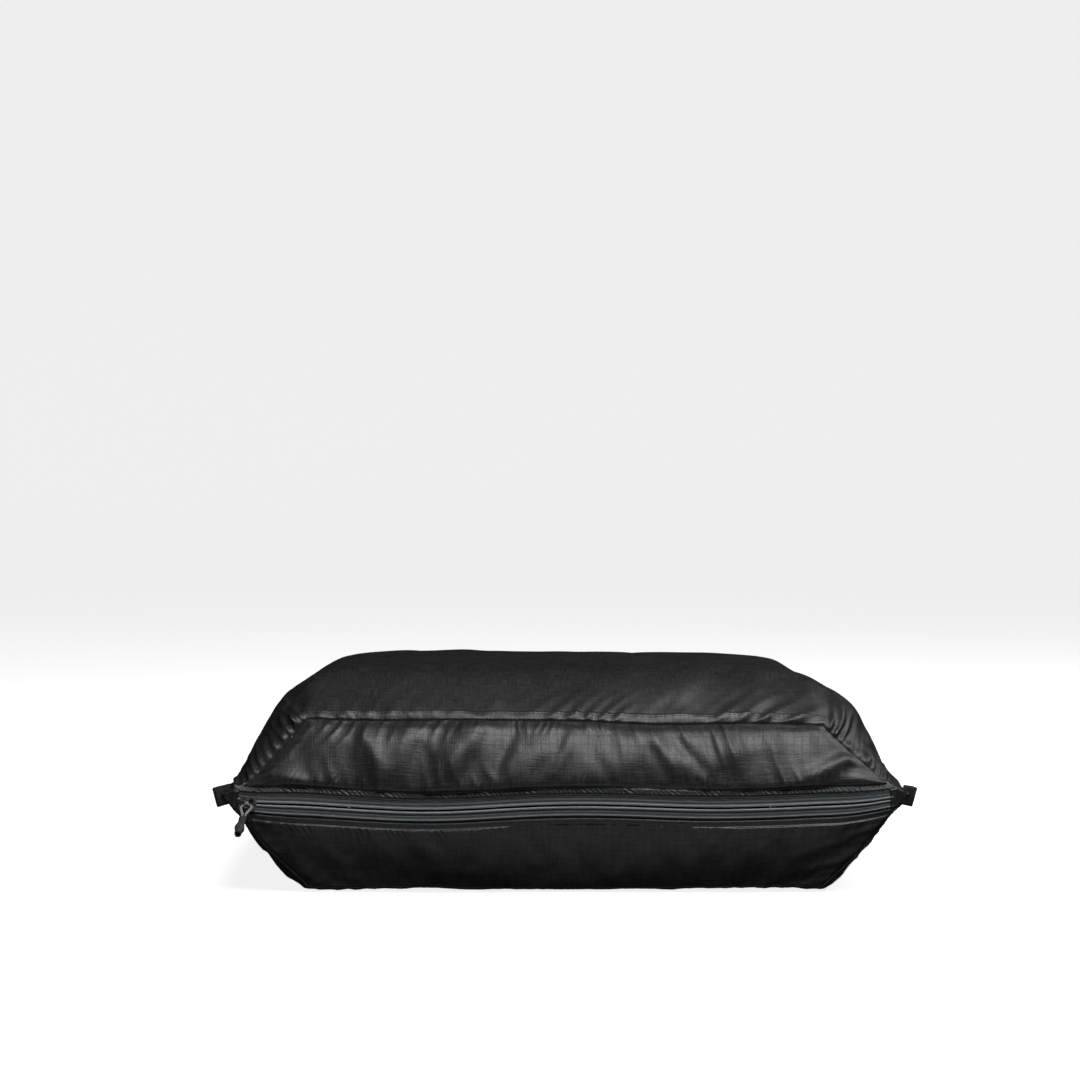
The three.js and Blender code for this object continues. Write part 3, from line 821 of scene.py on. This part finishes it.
def crest(phase):
    """A row of narrow crests and broad hollows, about -0.3 to 1."""
    return 1.3 * (0.5 + 0.5 * np.cos(2 * math.pi * phase)) ** 1.7 - 0.3


def puckers(along, distance, pitch, height, reach, slant, seed):
    """Gathers that run away from a seam. slant is how far they shift along it for each mm away."""
    bend = hills(along, distance, 3.2 * pitch, seed)
    phase = (along + slant * distance) / pitch + 0.75 * bend
    strength = np.clip(0.62 + 0.75 * hills(along, 0 * along, 2.1 * pitch, seed + 1), 0.1, 1.4)
    own_reach = reach * (1 + 0.45 * hills(along, 0 * along, 1.3 * pitch, seed + 2))
    rising = 1 - np.exp(-np.maximum(distance, 0) / 0.9)
    fading = np.exp(-(np.maximum(distance, 0) / own_reach) ** 1.5)
    return height * strength * rising * fading * crest(phase)


def fold(x, y, start, end, width, height):
    """One long fold from start to end, highest in its middle."""
    run = np.subtract(end, start)
    long = math.hypot(*run)
    share = ((x - start[0]) * run[0] + (y - start[1]) * run[1]) / long ** 2
    inside = np.clip(share, 0, 1)
    off = np.hypot(x - start[0] - inside * run[0], y - start[1] - inside * run[1])
    return height * np.exp(-(off / width) ** 2) * np.sin(math.pi * np.clip(share, 0.02, 0.98)) ** 0.6


def steps_between(low, high, pitch):
    return np.linspace(low, high, max(2, int(round((high - low) / pitch)) + 1))


def graded(*stretches):
    """Positions from stretches of (start, end, pitch), each start once."""
    parts = [steps_between(*stretch)[:-1] for stretch in stretches]
    return np.concatenate([*parts, [stretches[-1][1]]])


def strip(distance, width, height):
    """The raised profile of a topstitched strip beside a seam, with a thin rim at its fold."""
    top = height * smooth(distance / 0.5) * (1 - smooth((distance - width) / 0.55))
    return top + 0.18 * np.exp(-((distance - width + 0.35) / 0.3) ** 2)


def cut_size(base):
    """The (width, length) and area, in metres, that a smooth panel is cut to."""
    width = max(length_along(row)[-1] for row in base)
    length = max(length_along(column)[-1] for column in base.transpose(1, 0, 2))
    across = base[:-1, 1:] - base[:-1, :-1]
    down = base[1:, :-1] - base[:-1, :-1]
    area = np.linalg.norm(np.cross(across, down), axis=2).sum()
    return (round(width * MM, 3), round(length * MM, 3)), round(area * MM * MM, 4)


# ---- The wraps ---------------------------------------------------------------

def make_wrap(name, skin, outward, seed, broad_lumps, settle_frames):
    """A wrap panel with the strips along both its end seams.

    Returns the piece, the size it is cut to, its points and the rows' distances from its end seams.
    """
    half_row = graded((0, 8, 0.42), (8, 30, 1.35), (30, DEPTH_HALF, 2.3))
    t_line = np.concatenate([half_row / DEPTH_HALF - 1, (1 - half_row / DEPTH_HALF)[-2::-1]])
    q_line = graded((-1, -FLAT, 0.0056), (-FLAT, FLAT, 0.0076), (FLAT, 1, 0.0056))
    t, q = np.meshgrid(t_line, q_line, indexing="ij")
    base = skin(q, t)
    normal = normals_of(base, outward)
    depth = np.abs(base[..., 1])
    reach = np.maximum(np.abs(skin(q, np.sign(t + 1e-9))[..., 1]), 1)
    distance = reach - depth
    along = np.stack([length_along(row) - length_along(row)[-1] / 2 for row in base])
    edge_along = np.where(t < 0, along[0][None, :], along[-1][None, :])
    side_gap = (1 - np.abs(q)) * 240
    slanted = smooth((np.abs(q) - FLAT + 0.02) / 0.06)
    end_seed = np.where(t < 0, 0, 1)

    x, y = base[..., 0], base[..., 1]
    lumps = 1.6 * hills(x, y, 88, seed) + 1.0 * hills(x, y, 37, seed + 1)
    lumps *= broad_lumps * smooth(distance / 34) * smooth(side_gap / 40)
    height = lumps
    for end in (0, 1):
        here = end_seed == end
        more = seed + 20 * end
        corner_share = smooth((np.abs(edge_along) - 80) / 60)
        flat_gathers = (
            puckers(edge_along, distance, 5.2, 0.6, 8, 0.25, more)
            + puckers(edge_along, distance, 13, 0.8, 20, -0.9, more + 3) * (1 + 0.9 * corner_share)
        ) * (1.0 if outward > 0 else 0.3)
        slant_gathers = (1.0 if outward > 0 else 0.25) * (
            puckers(edge_along, distance, 6.3, 1.9, 19, 0.1, more + 6)
            + puckers(edge_along, distance, 13.5, 1.6, 34, -0.08, more + 9)
        )
        height = height + here * mix(flat_gathers, slant_gathers * smooth((side_gap + 4) / 20), slanted)
    height = height + strip(distance, FELL, 0.35) + SEAM_GROOVE * (1 - np.exp(-distance / 0.9))
    if outward > 0:
        puff = (1 - np.exp(-distance / 10)) * np.exp(-(distance / 52) ** 2) * smooth(side_gap / 44)
        height = height + SIDE_PUFF * slanted * puff
    ridge_gathers = puckers(base[..., 1] + 500, side_gap, 8, 0.7, 12, 0.3, seed + 50)
    height = height + ridge_gathers * smooth(distance / 12)
    if outward < 0:
        on_floor = smooth((8 - base[..., 2]) / 6) * smooth(distance / 16)
        height = mix(height, 0.25 * np.minimum(height, 0), on_floor)
    points = base + normal * height[..., None]
    folds = panel_folds(
        skin, t_line, q_line, (90, 150), outward, 0.02, 1.0, settle_frames, seed, (2, 40), 2.0,
    ) * smooth(distance / 5)[..., None]
    if outward < 0:
        folds *= (1 - 0.85 * on_floor)[..., None]
    points = points + folds
    points[..., 2] = np.maximum(points[..., 2], 0.05)
    points = settle_shape(points)
    points[..., 2] = np.maximum(points[..., 2], 0.02)
    cloth = np.stack([along, base[..., 1]], axis=2)
    made = sheet_object(name, points, cloth, ripstop, outward)
    return made, cut_size(base), points, half_row


def wrap_stitches(name, points, half_row, outward):
    """The row of stitches beside each end seam, and the second row at the strip's fold."""
    normal = normals_of(points, outward)
    rows = []
    for distance in (0.9, FELL - 1.0):
        index = int(np.argmin(np.abs(half_row * 0.86 - distance)))
        for row in (index, len(points) - 1 - index):
            rows.append((points[row], normal[row]))
    return stitch_object(name, rows, thread)


# ---- The end panels ----------------------------------------------------------


def blend_lip(made):
    """Bakes a piece of the mouth's transform into its mesh, and reads its points."""
    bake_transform(made)
    count = len(made.data.vertices)
    flat = np.zeros(count * 3, np.float32)
    made.data.vertices.foreach_get("co", flat)


def front_base(u, rise, upper):
    """Points of a front panel, u from -1 to 1 between its slanted seams, rise in mm from the zip line."""
    z = ZIP_Z + rise if upper else ZIP_Z - rise
    x = u * panel_half(z)
    return np.stack([x, -end_depth(x, z, FRONT_BULGE if upper else FOOT_BULGE), z], axis=2)


def make_front(name, upper, seed):
    seam_rise = (TOP_SEAM_Z - ZIP_Z) if upper else (ZIP_Z - FOOT_SEAM_Z)
    outward = 1 if upper else -1
    start = TAPE_HALF - 0.2 if upper else TAPE_HALF + 0.4
    rise_line = graded(
        (start, start + 5, 0.34), (start + 5, seam_rise - 2, 1.15), (seam_rise - 2, seam_rise, 0.5),
    )
    u_line = steps_between(-1, 1, 0.0034)
    rise, u = np.meshgrid(rise_line, u_line, indexing="ij")
    base = front_base(u, rise, upper)
    normal = normals_of(base, outward)
    x = base[..., 0]
    from_zip = rise - start
    from_seam = (seam_rise - rise) * 1.12
    from_slant = (1 - np.abs(u)) * panel_half(base[..., 2]) * 0.7
    tallness = 1.0 if upper else 0.75

    hem_height = 0.7 if upper else 0.6
    if upper:
        hem = hem_height * smooth(from_zip / 0.6) * (1 - 0.16 * from_zip)
        hem = hem * (1 - smooth((from_zip - HEM) / 0.6))
        puff = 1.7 * (1 - np.exp(-np.maximum(from_zip - HEM - 0.3, 0) / 1.4))
    else:
        hem = hem_height * smooth(from_zip / 0.4) * np.exp(-from_zip / 9)
        puff = 0.0
    sewn = smooth(np.minimum(from_seam, from_slant) / 7)
    tuck = -1.1 * (1 - smooth(from_zip / 0.55))
    past_hem = smooth((from_zip - HEM) / 1.2)
    fan = -0.5 * np.clip((x + 10) / 60, -1, 1)
    gathers = (
        puckers(x, from_seam, 4.6, 0.35, 5, fan, seed)
        + puckers(x, from_seam, 9.5, 0.55, 17, fan, seed + 3)
        + puckers(x, from_seam, 29, 1.25, 64, fan, seed + 6)
    ) * (1 if upper else 0.35)
    hem_gathers = (
        puckers(x, from_zip - HEM + 0.6, 4.1, 0.42, 5, -0.6, seed + 9)
        + puckers(x, from_zip - HEM + 0.6, 9.5, 0.6 if upper else 0.3, 9, 0.3, seed + 12)
    )
    twill = crest((x + 1.1 * from_zip) / 2.9 + hills(x, 0 * x, 9, seed + 15))
    hem_slub = (0.45 if upper else 0.12) * twill * hem / hem_height
    slant_line = np.sign(x) * rise
    slant_gathers = (
        puckers(slant_line + 300, from_slant, 6.5, 0.6, 9, -0.2, seed + 18)
        + puckers(slant_line + 300, from_slant, 16, 1.0, 22, -0.5, seed + 21)
    ) * past_hem * (1 if upper else 0.5)
    lumps = (1.5 * hills(x, rise, 64, seed + 24) + 0.3 * hills(x, rise, 31, seed + 25)) * past_hem
    lumps *= smooth(from_seam / 16) * smooth(from_slant / 20)
    height = tallness * (gathers + slant_gathers) * past_hem + (hem_gathers + puff) * past_hem * sewn + lumps
    height = height + SEAM_GROOVE * (1 - np.exp(-np.minimum(from_seam, from_slant) / 0.9)) * past_hem
    if upper:
        height = height + past_hem * sewn * sum(fold(x, rise, *place) for place in FRONT_FOLDS)
    points = base + normal * (height + hem + tuck + hem_slub)[..., None]
    cap = 0.7 if upper else 0.5
    folds = panel_folds(
        lambda u, rise: front_base(u, rise, upper),
        rise_line, u_line, (24, 170), outward, 0.012, 1.5, 22, seed, (4, 60), cap,
    )
    fade = past_hem * smooth(from_seam / 3)
    points = points + folds * fade[..., None]
    points = settle_shape(points)
    if not upper:
        points[..., 2] = np.maximum(points[..., 2], 0.05)
    cloth = np.stack([x, rise], axis=2)
    made = sheet_object(name, points, cloth, ripstop, outward)

    point_normal = normals_of(points, outward)
    inner = np.abs(u_line) < 0.985
    rows = []
    for wanted in ((0.9, HEM - 0.8) if upper else (1.2,)):
        index = int(np.argmin(np.abs(rise_line - start - wanted)))
        rows.append((points[index][inner], point_normal[index][inner]))
    sewing = stitch_object(name + "_stitches", rows, thread)
    return made, cut_size(base), sewing


def make_back(name, seed):
    share = steps_between(0, 1, 0.0165)
    z_line = np.concatenate([mix(FOOT_SEAM_Z, ZIP_Z, share[:-1]), mix(ZIP_Z, TOP_SEAM_Z, share)])
    u_line = steps_between(-1, 1, 0.0095)
    z, u = np.meshgrid(z_line, u_line, indexing="ij")

    def base_at(u, z):
        x = u * panel_half(z)
        b = np.where(z < ZIP_Z, (z - FOOT_SEAM_Z) / (ZIP_Z - FOOT_SEAM_Z) / 2,
                     0.5 + (z - ZIP_Z) / (TOP_SEAM_Z - ZIP_Z) / 2)
        swell = BACK_BULGE * np.sin(math.pi * b) * (1 - np.abs(u) ** 4)
        return np.stack([x, end_depth(x, z, 0) + swell, z], axis=2)

    base = base_at(u, z)
    normal = normals_of(base, -1)
    x = base[..., 0]
    from_top = (TOP_SEAM_Z - z) * 1.12
    from_foot = (z - FOOT_SEAM_Z) * 1.06
    from_side = (1 - np.abs(u)) * panel_half(z) * 0.7
    height = (
        puckers(x, from_top, 9, 0.8, 14, 0.2, seed)
        + puckers(x, from_top, 24, 1.7, 40, 0.4, seed + 3)
        + puckers(x, from_foot, 9, 0.7, 12, -0.2, seed + 6)
        + puckers(x, from_foot, 21, 1.2, 28, -0.4, seed + 9)
        + puckers(z + 300, from_side, 7, 0.9, 12, 0.3, seed + 12)
        + puckers(z + 300, from_side, 17, 1.5, 30, 0.3, seed + 15)
        + (2.2 * hills(x, z, 70, seed + 18) + 0.9 * hills(x, z, 30, seed + 19))
        * smooth(from_top / 18) * smooth(from_foot / 18) * smooth(from_side / 22)
    )
    points = base + normal * height[..., None]
    points = points + panel_folds(
        base_at, z_line, u_line, (42, 150), -1, 0.02, 1.0, 20, seed, (2, 30), 2.2,
    )
    points = settle_shape(points)
    cloth = np.stack([x, z], axis=2)
    return sheet_object(name, points, cloth, ripstop, -1), cut_size(base)


# ---- The zip -----------------------------------------------------------------

def tape_profile(rise, upper):
    """How far a reverse coil zip's tape stands proud at a distance from the zip line."""
    over_coil = 0.85 * np.exp(-((rise - 1.35) / 0.75) ** 4)
    edge = -1.4 * (1 - smooth((rise - 0.25) / 0.5))
    if upper:
        band = 0.6 * (1 - smooth((rise - 3.0) / 2.4))
        under = -1.2 * smooth((rise - 6.6) / 1.6)
    else:
        band = 0.3 + 0.8 * smooth((rise - 2.6) / 3.6)
        under = -2.0 * smooth((rise - 6.1) / 0.8)
    return over_coil + edge + band + under


def make_tape(name, upper):
    rise_line = graded((0.3, 4.2, 0.22), (4.2, 8.6, 0.4))
    u_line = steps_between(-1, 1, 0.0045)
    rise, u = np.meshgrid(rise_line, u_line, indexing="ij")
    half = np.minimum(206.5, panel_half(ZIP_Z + rise) - 0.9)
    x = u * half
    z = ZIP_Z + rise if upper else ZIP_Z - rise
    ripple = 0.12 * hills(x, rise, 17, 71 + upper) + 0.05 * hills(x, rise, 4, 73 + upper)
    y = -(DEPTH_HALF - 0.6) - tape_profile(rise, upper) - ripple
    points = settle_shape(np.stack([x, y, z], axis=2))
    cloth = np.stack([x, rise], axis=2)
    return sheet_object(name, points, cloth, zip_tape, 1 if upper else -1)


def make_coil(name, upper):
    """The nylon coil along the tape's inner side."""
    pitch, steps = 1.45, 9
    turns = int(2 * (LIP_ZIP_HALF + 12) / pitch)
    a = np.linspace(0, 2 * math.pi * turns, turns * steps + 1)
    x = mix(-(LIP_ZIP_HALF + 12), LIP_ZIP_HALF + 12, np.linspace(0, 1, len(a)))
    centre = 2.0
    z = ZIP_Z + (1 if upper else -1) * (centre + 1.15 * np.cos(a))
    y = -(DEPTH_HALF - 2.1) + 0.95 * np.sin(a)
    path = settle_shape(np.stack([x, y, z], axis=1))
    return swept(name, path, (1, 0, 0), circle_section(0.3, 5), coil)


def make_tab(name, side, start):
    """The folded fabric tab sewn over an end of the zip."""
    tip = CORNER_HALF - 1.0
    x_line = graded((start - 0.6, start + 1.2, 0.25), (start + 1.2, tip, 0.45))
    v_line = np.linspace(-1, 1, 25)
    v, x = np.meshgrid(v_line, x_line, indexing="ij")
    corner = (CORNER_HALF + 0.6 - x) * (TOP_SEAM_Z - ZIP_Z) / (CORNER_HALF - TOP_SEAM_HALF)
    half = np.minimum(TAPE_HALF + 0.2, np.maximum(corner, 0.4))
    inside = smooth((x - start + 0.6) / 0.7) * smooth((1 - np.abs(v)) / 0.12)
    stitched = -0.28 * np.exp(-((x - start - 1.4) / 0.45) ** 2)
    rumple = 0.22 * hills(x, v * half, 2.6, 91 + side)
    clear_of_loop = 1 - smooth((x - CORNER_HALF + 9) / 6)
    y = -(DEPTH_HALF + 0.1) + 0.5 * (1 - clear_of_loop) - inside * (0.7 + stitched + rumple) * clear_of_loop
    points = settle_shape(np.stack([side * x, y, ZIP_Z + v * half], axis=2))
    cloth = np.stack([x, v * half], axis=2)
    made = sheet_object(name, points, cloth, ripstop, side)
    normal = normals_of(points, side)
    rows = []
    for offset in (1.4, 3.0):
        column = int(np.argmin(np.abs(x_line - start - offset)))
        rows.append((points[2:-2, column], normal[2:-2, column]))
    sewing = stitch_object(name + "_stitches", rows, thread)
    return made, sewing


# ---- Pull, loops and bindings ------------------------------------------------

def pull_place(points):
    """Points along the pull, in its own frame with the bridge at the origin, moved to where it rests."""
    turn = Euler((0, math.radians(PULL_LEAN), 0)).to_matrix()
    tilt = Euler((math.radians(-PULL_TILT), 0, 0)).to_matrix()
    turn = np.array(tilt @ turn)
    return np.asarray(points, float) @ turn.T + np.array([SLIDER_X, PULL_Y, ZIP_Z])


def smooth_path(knots, pitch):
    """A smooth line through knots, with points about pitch apart."""
    knots = np.asarray(knots, float)
    fine = resample(knots[:, None, :], np.linspace(0, len(knots) - 1, 40 * len(knots)), np.zeros(1))[:, 0]
    run = length_along(fine)
    at = steps_between(0, run[-1], pitch)
    return np.stack([np.interp(at, run, fine[:, k]) for k in range(3)], axis=1)


def make_cord():
    """The doubled cord: from the knot in the grip, up through the slider's bridge and back down."""
    inside = [[0.95, 29], [1.0, 24]]
    leg = inside + [[1.1, 19.6], [1.1, 14], [1.9, 10], [3.2, 5.5], [3.1, 2.2], [1.7, 0]]
    knots = [(-x, 0, -down) for x, down in leg] + [(0, 0, 0.5)] + [(x, 0, -down) for x, down in leg[::-1]]
    path = pull_place(smooth_path(knots, 0.45))
    made = swept("pull_cord_braid", path, (0.3, -0.2, 1), circle_section(CORD_DIAMETER / 2, 12), cord_look)
    return made, path


def make_grip():
    """The shrunk tube over the knot, with a dark open end."""
    profile = [
        (1.35, 21.4), (1.9, 20.4), (2.15, 20.1), (2.35, 20.6), (2.38, 21.6), (2.3, 24), (2.22, 28),
        (2.45, 30.2), (3.0, 32.6), (3.2, 34.2), (3.0, 36), (2.45, 38), (2.2, 40), (2.25, 42), (2.3, 42.7),
        (2.1, 43), (1.75, 42.9), (1.6, 42.2), (1.5, 40.5), (0.6, 40.2), (0.05, 40.2),
    ]
    count = 28
    points, cloth = [], []
    for radius, down in profile:
        for k in range(count):
            a = 2 * math.pi * k / count
            flat = 1 - 0.07 * math.cos(2 * a)
            wobble = 1 + 0.05 * math.sin(3 * a + down * 0.5) + 0.03 * math.sin(5 * a - down)
            points.append((radius * flat * wobble * math.cos(a), radius / flat * math.sin(a), -down))
            cloth.append((down, radius * a))
    faces = grid_faces(len(profile), count, -1, closed=True)
    made = mesh_object("pull_grip_tube", pull_place(points), faces, grip_look, cloth)
    return made


def make_loop(name, side, swing):
    """A loop of webbing sewn in at the corner, its two plies together at the root."""
    radius = LOOP_ROUND + LOOP_THICK / 2
    arc = [
        (LOOP_REACH + radius * math.sin(a), radius * math.cos(a))
        for a in np.linspace(math.pi, 0, 15)
    ]
    knots = [(-6.0, -0.7), (-2.5, -0.8), (0.2, -radius + 0.4), *arc,
             (0.2, radius - 0.4), (-2.5, 0.8), (-6.0, 0.7)]
    line = smooth_path([(x, y, 0) for x, y in knots], 0.5)
    section = round_section(LOOP_WIDTH, LOOP_THICK, 3)
    side_way, up = frames_along(line, (0, 0, 1))
    rings = np.stack([line + up * a + side_way * b for a, b in section], axis=1)
    wobble = 0.25 * hills(rings[..., 0] * 3, rings[..., 2] + 40, 6, 60 + side)
    rings[..., 1] += wobble
    count = len(section)
    faces = grid_faces(len(line), count, 1, closed=True)
    last = (len(line) - 1) * count
    faces.append(tuple(range(count))[::-1])
    faces.append(tuple(range(last, last + count)))
    run = length_along(line)
    across = np.array([a for a, _ in section])
    cloth = cloth_grid(run, across)
    outward = 0 if side > 0 else math.pi
    turn = Euler((0, 0, outward + side * math.radians(swing))).to_matrix()
    tilt = Euler((0, side * math.radians(LOOP_TILT), 0)).to_matrix()
    matrix = np.array(tilt @ turn)
    root = np.array([side * (CORNER_HALF + LOOP_OUT), -DEPTH_HALF + 3.8, ZIP_Z])
    points = rings.reshape(-1, 3) @ matrix.T + root
    points[:, 2] += CORNER_LIFT * LOOP_LIFT_SHARE
    return mesh_object(name, points, faces, webbing, cloth)


def make_end_binding(name, side):
    """The bound seam allowance inside an end seam."""
    inset, middle = 4.0, 10.5
    corners = [
        (CORNER_HALF - 2.4 * inset, ZIP_Z, 0),
        (TOP_SEAM_HALF - 0.6 * inset, TOP_SEAM_Z - inset, TOP_SEAM_BACK),
        (-TOP_SEAM_HALF + 0.6 * inset, TOP_SEAM_Z - inset, TOP_SEAM_BACK),
        (-CORNER_HALF + 2.4 * inset, ZIP_Z, 0),
        (-FOOT_SEAM_HALF + 0.6 * inset, FOOT_SEAM_Z + inset, FOOT_SEAM_BACK),
        (FOOT_SEAM_HALF - 0.6 * inset, FOOT_SEAM_Z + inset, FOOT_SEAM_BACK),
    ]
    path = []
    for (x, z, back), (x2, z2, back2) in zip(corners, corners[1:] + corners[:1]):
        for share in np.linspace(0, 1, 46)[:-1]:
            at = mix(x, x2, share), mix(back, back2, share), mix(z, z2, share)
            path.append((at[0], side * (DEPTH_HALF - at[1] - middle), at[2]))
    path = np.array(path)
    inward = np.array([0, 0, 55.0]) - path
    inward[:, 1] = 0
    inward /= np.linalg.norm(inward, axis=1, keepdims=True)
    wobble = 0.5 * hills(length_along(path), 0 * path[:, 0], 11, 33 + side)
    path += inward * wobble[:, None]
    rings = np.stack([
        path + np.array([0, a, 0]) + inward * b
        for a, b in round_section(6.4, 1.0, 2)
    ], axis=1)
    rings = settle_shape(np.concatenate([rings, rings[:1]]))
    count = rings.shape[1]
    run = length_along(rings[:, 0])
    across = np.linspace(0, 14, count)
    cloth = cloth_grid(run, across)
    faces = grid_faces(len(rings), count, 1, closed=True)
    return mesh_object(name, rings.reshape(-1, 3), faces, binding, cloth)


def make_ridge_binding(name, side):
    """The bound seam allowance that stands in from a side ridge."""
    t = np.linspace(-0.9, 0.9, 120)
    path = np.stack([
        side * (ridge_x(t) - 7), t * DEPTH_HALF, ridge_z(t) + 0.4 * hills(t * 150, 0 * t, 14, 44 + side),
    ], axis=1)
    return swept(name, settle_shape(path), (0, 0, 1), round_section(6.4, 1.0, 2), binding)


# ---- Assembly ----------------------------------------------------------------

make_camera()

cord_look = cord_material()
grip_look = grip_material()
pull_cord, cord_path = make_cord()
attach(pull_cord, "pull")
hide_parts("pull_cord")
pull_grip = make_grip()
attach(pull_grip, "pull")
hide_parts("pull_grip")

make_studio()
ripstop = ripstop_material()
thread = mottled_material(
    "sewing_thread", 0.0012, (0.005, 0.005, 0.006, 1), (0.022, 0.022, 0.024, 1), (0.5, 0.7), 0.1, 0.6,
)
zip_tape = zip_tape_material()
coil = mottled_material(
    "zip_coil_plastic", 0.004, (0.012, 0.014, 0.016, 1), (0.035, 0.04, 0.045, 1), (0.25, 0.42), 0.05, 0.4,
)
webbing = webbing_material()
binding = binding_material()

top_wrap, top_cut, top_points, row_line = make_wrap("top_wrap_cloth", top_skin, 1, 100, 1.0, 22)
bottom_wrap, bottom_cut, bottom_points, _ = make_wrap("bottom_wrap_cloth", bottom_skin, -1, 200, 0.8, 16)
for name, wrap, cut, points, outward in (
    ("top", top_wrap, top_cut, top_points, 1),
    ("bottom", bottom_wrap, bottom_cut, bottom_points, -1),
):
    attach(wrap, "bag")
    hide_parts(f"{name}_wrap_panel")
    sewing = wrap_stitches(f"{name}_wrap_stitches", points, row_line, outward)
    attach(sewing, "bag")

back, back_cut = make_back("back_cloth", 300)
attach(back, "bag")
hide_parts("back_panel")

for upper, wrap in ((True, top_wrap), (False, bottom_wrap)):
    part = "upper" if upper else "lower"
    front, front_cut, sewing = make_front(f"front_{part}_cloth", upper, 400 if upper else 500)
    tape = make_tape(f"zip_tape_{part}_cloth", upper)
    teeth = make_coil(f"zip_coil_{part}_nylon", upper)
    for piece in (front, sewing, tape, teeth):
        blend_lip(piece)
    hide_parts(f"front_{part}_panel", f"front_{part}_corner_left", f"front_{part}_corner_right")
    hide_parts(f"zip_tape_{part}", "zip_tape_end_left", "zip_tape_end_right")
    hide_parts(f"zip_coil_{part}")

for name, side, start in TABS:
    tab, sewing = make_tab(f"zip_tab_{name}_cloth", side, start)
    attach(tab, "bag")
    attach(sewing, "bag")
    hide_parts(f"zip_tab_{name}")

for name, side, swing in LOOPS:
    loop = make_loop(f"webbing_loop_{name}_weave", side, swing)
    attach(loop, f"{name}_loop")
    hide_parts(f"webbing_loop_{name}")
    ridge = make_ridge_binding(f"ridge_binding_{name}_tape", side)
    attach(ridge, "bag")
    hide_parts(f"ridge_binding_{name}")

for name, side in (("front", -1), ("back", 1)):
    bound = make_end_binding(f"seam_binding_{name}_tape", side)
    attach(bound, "bag")
    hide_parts(f"seam_binding_{name}")

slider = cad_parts["slider_body"]
slider.data.materials.clear()
slider.data.materials.append(metal_material())
bevel = slider.modifiers.new("worn_edges", "BEVEL")
bevel.width = 0.25 * MM
bevel.segments = 2
bevel.limit_method = "ANGLE"
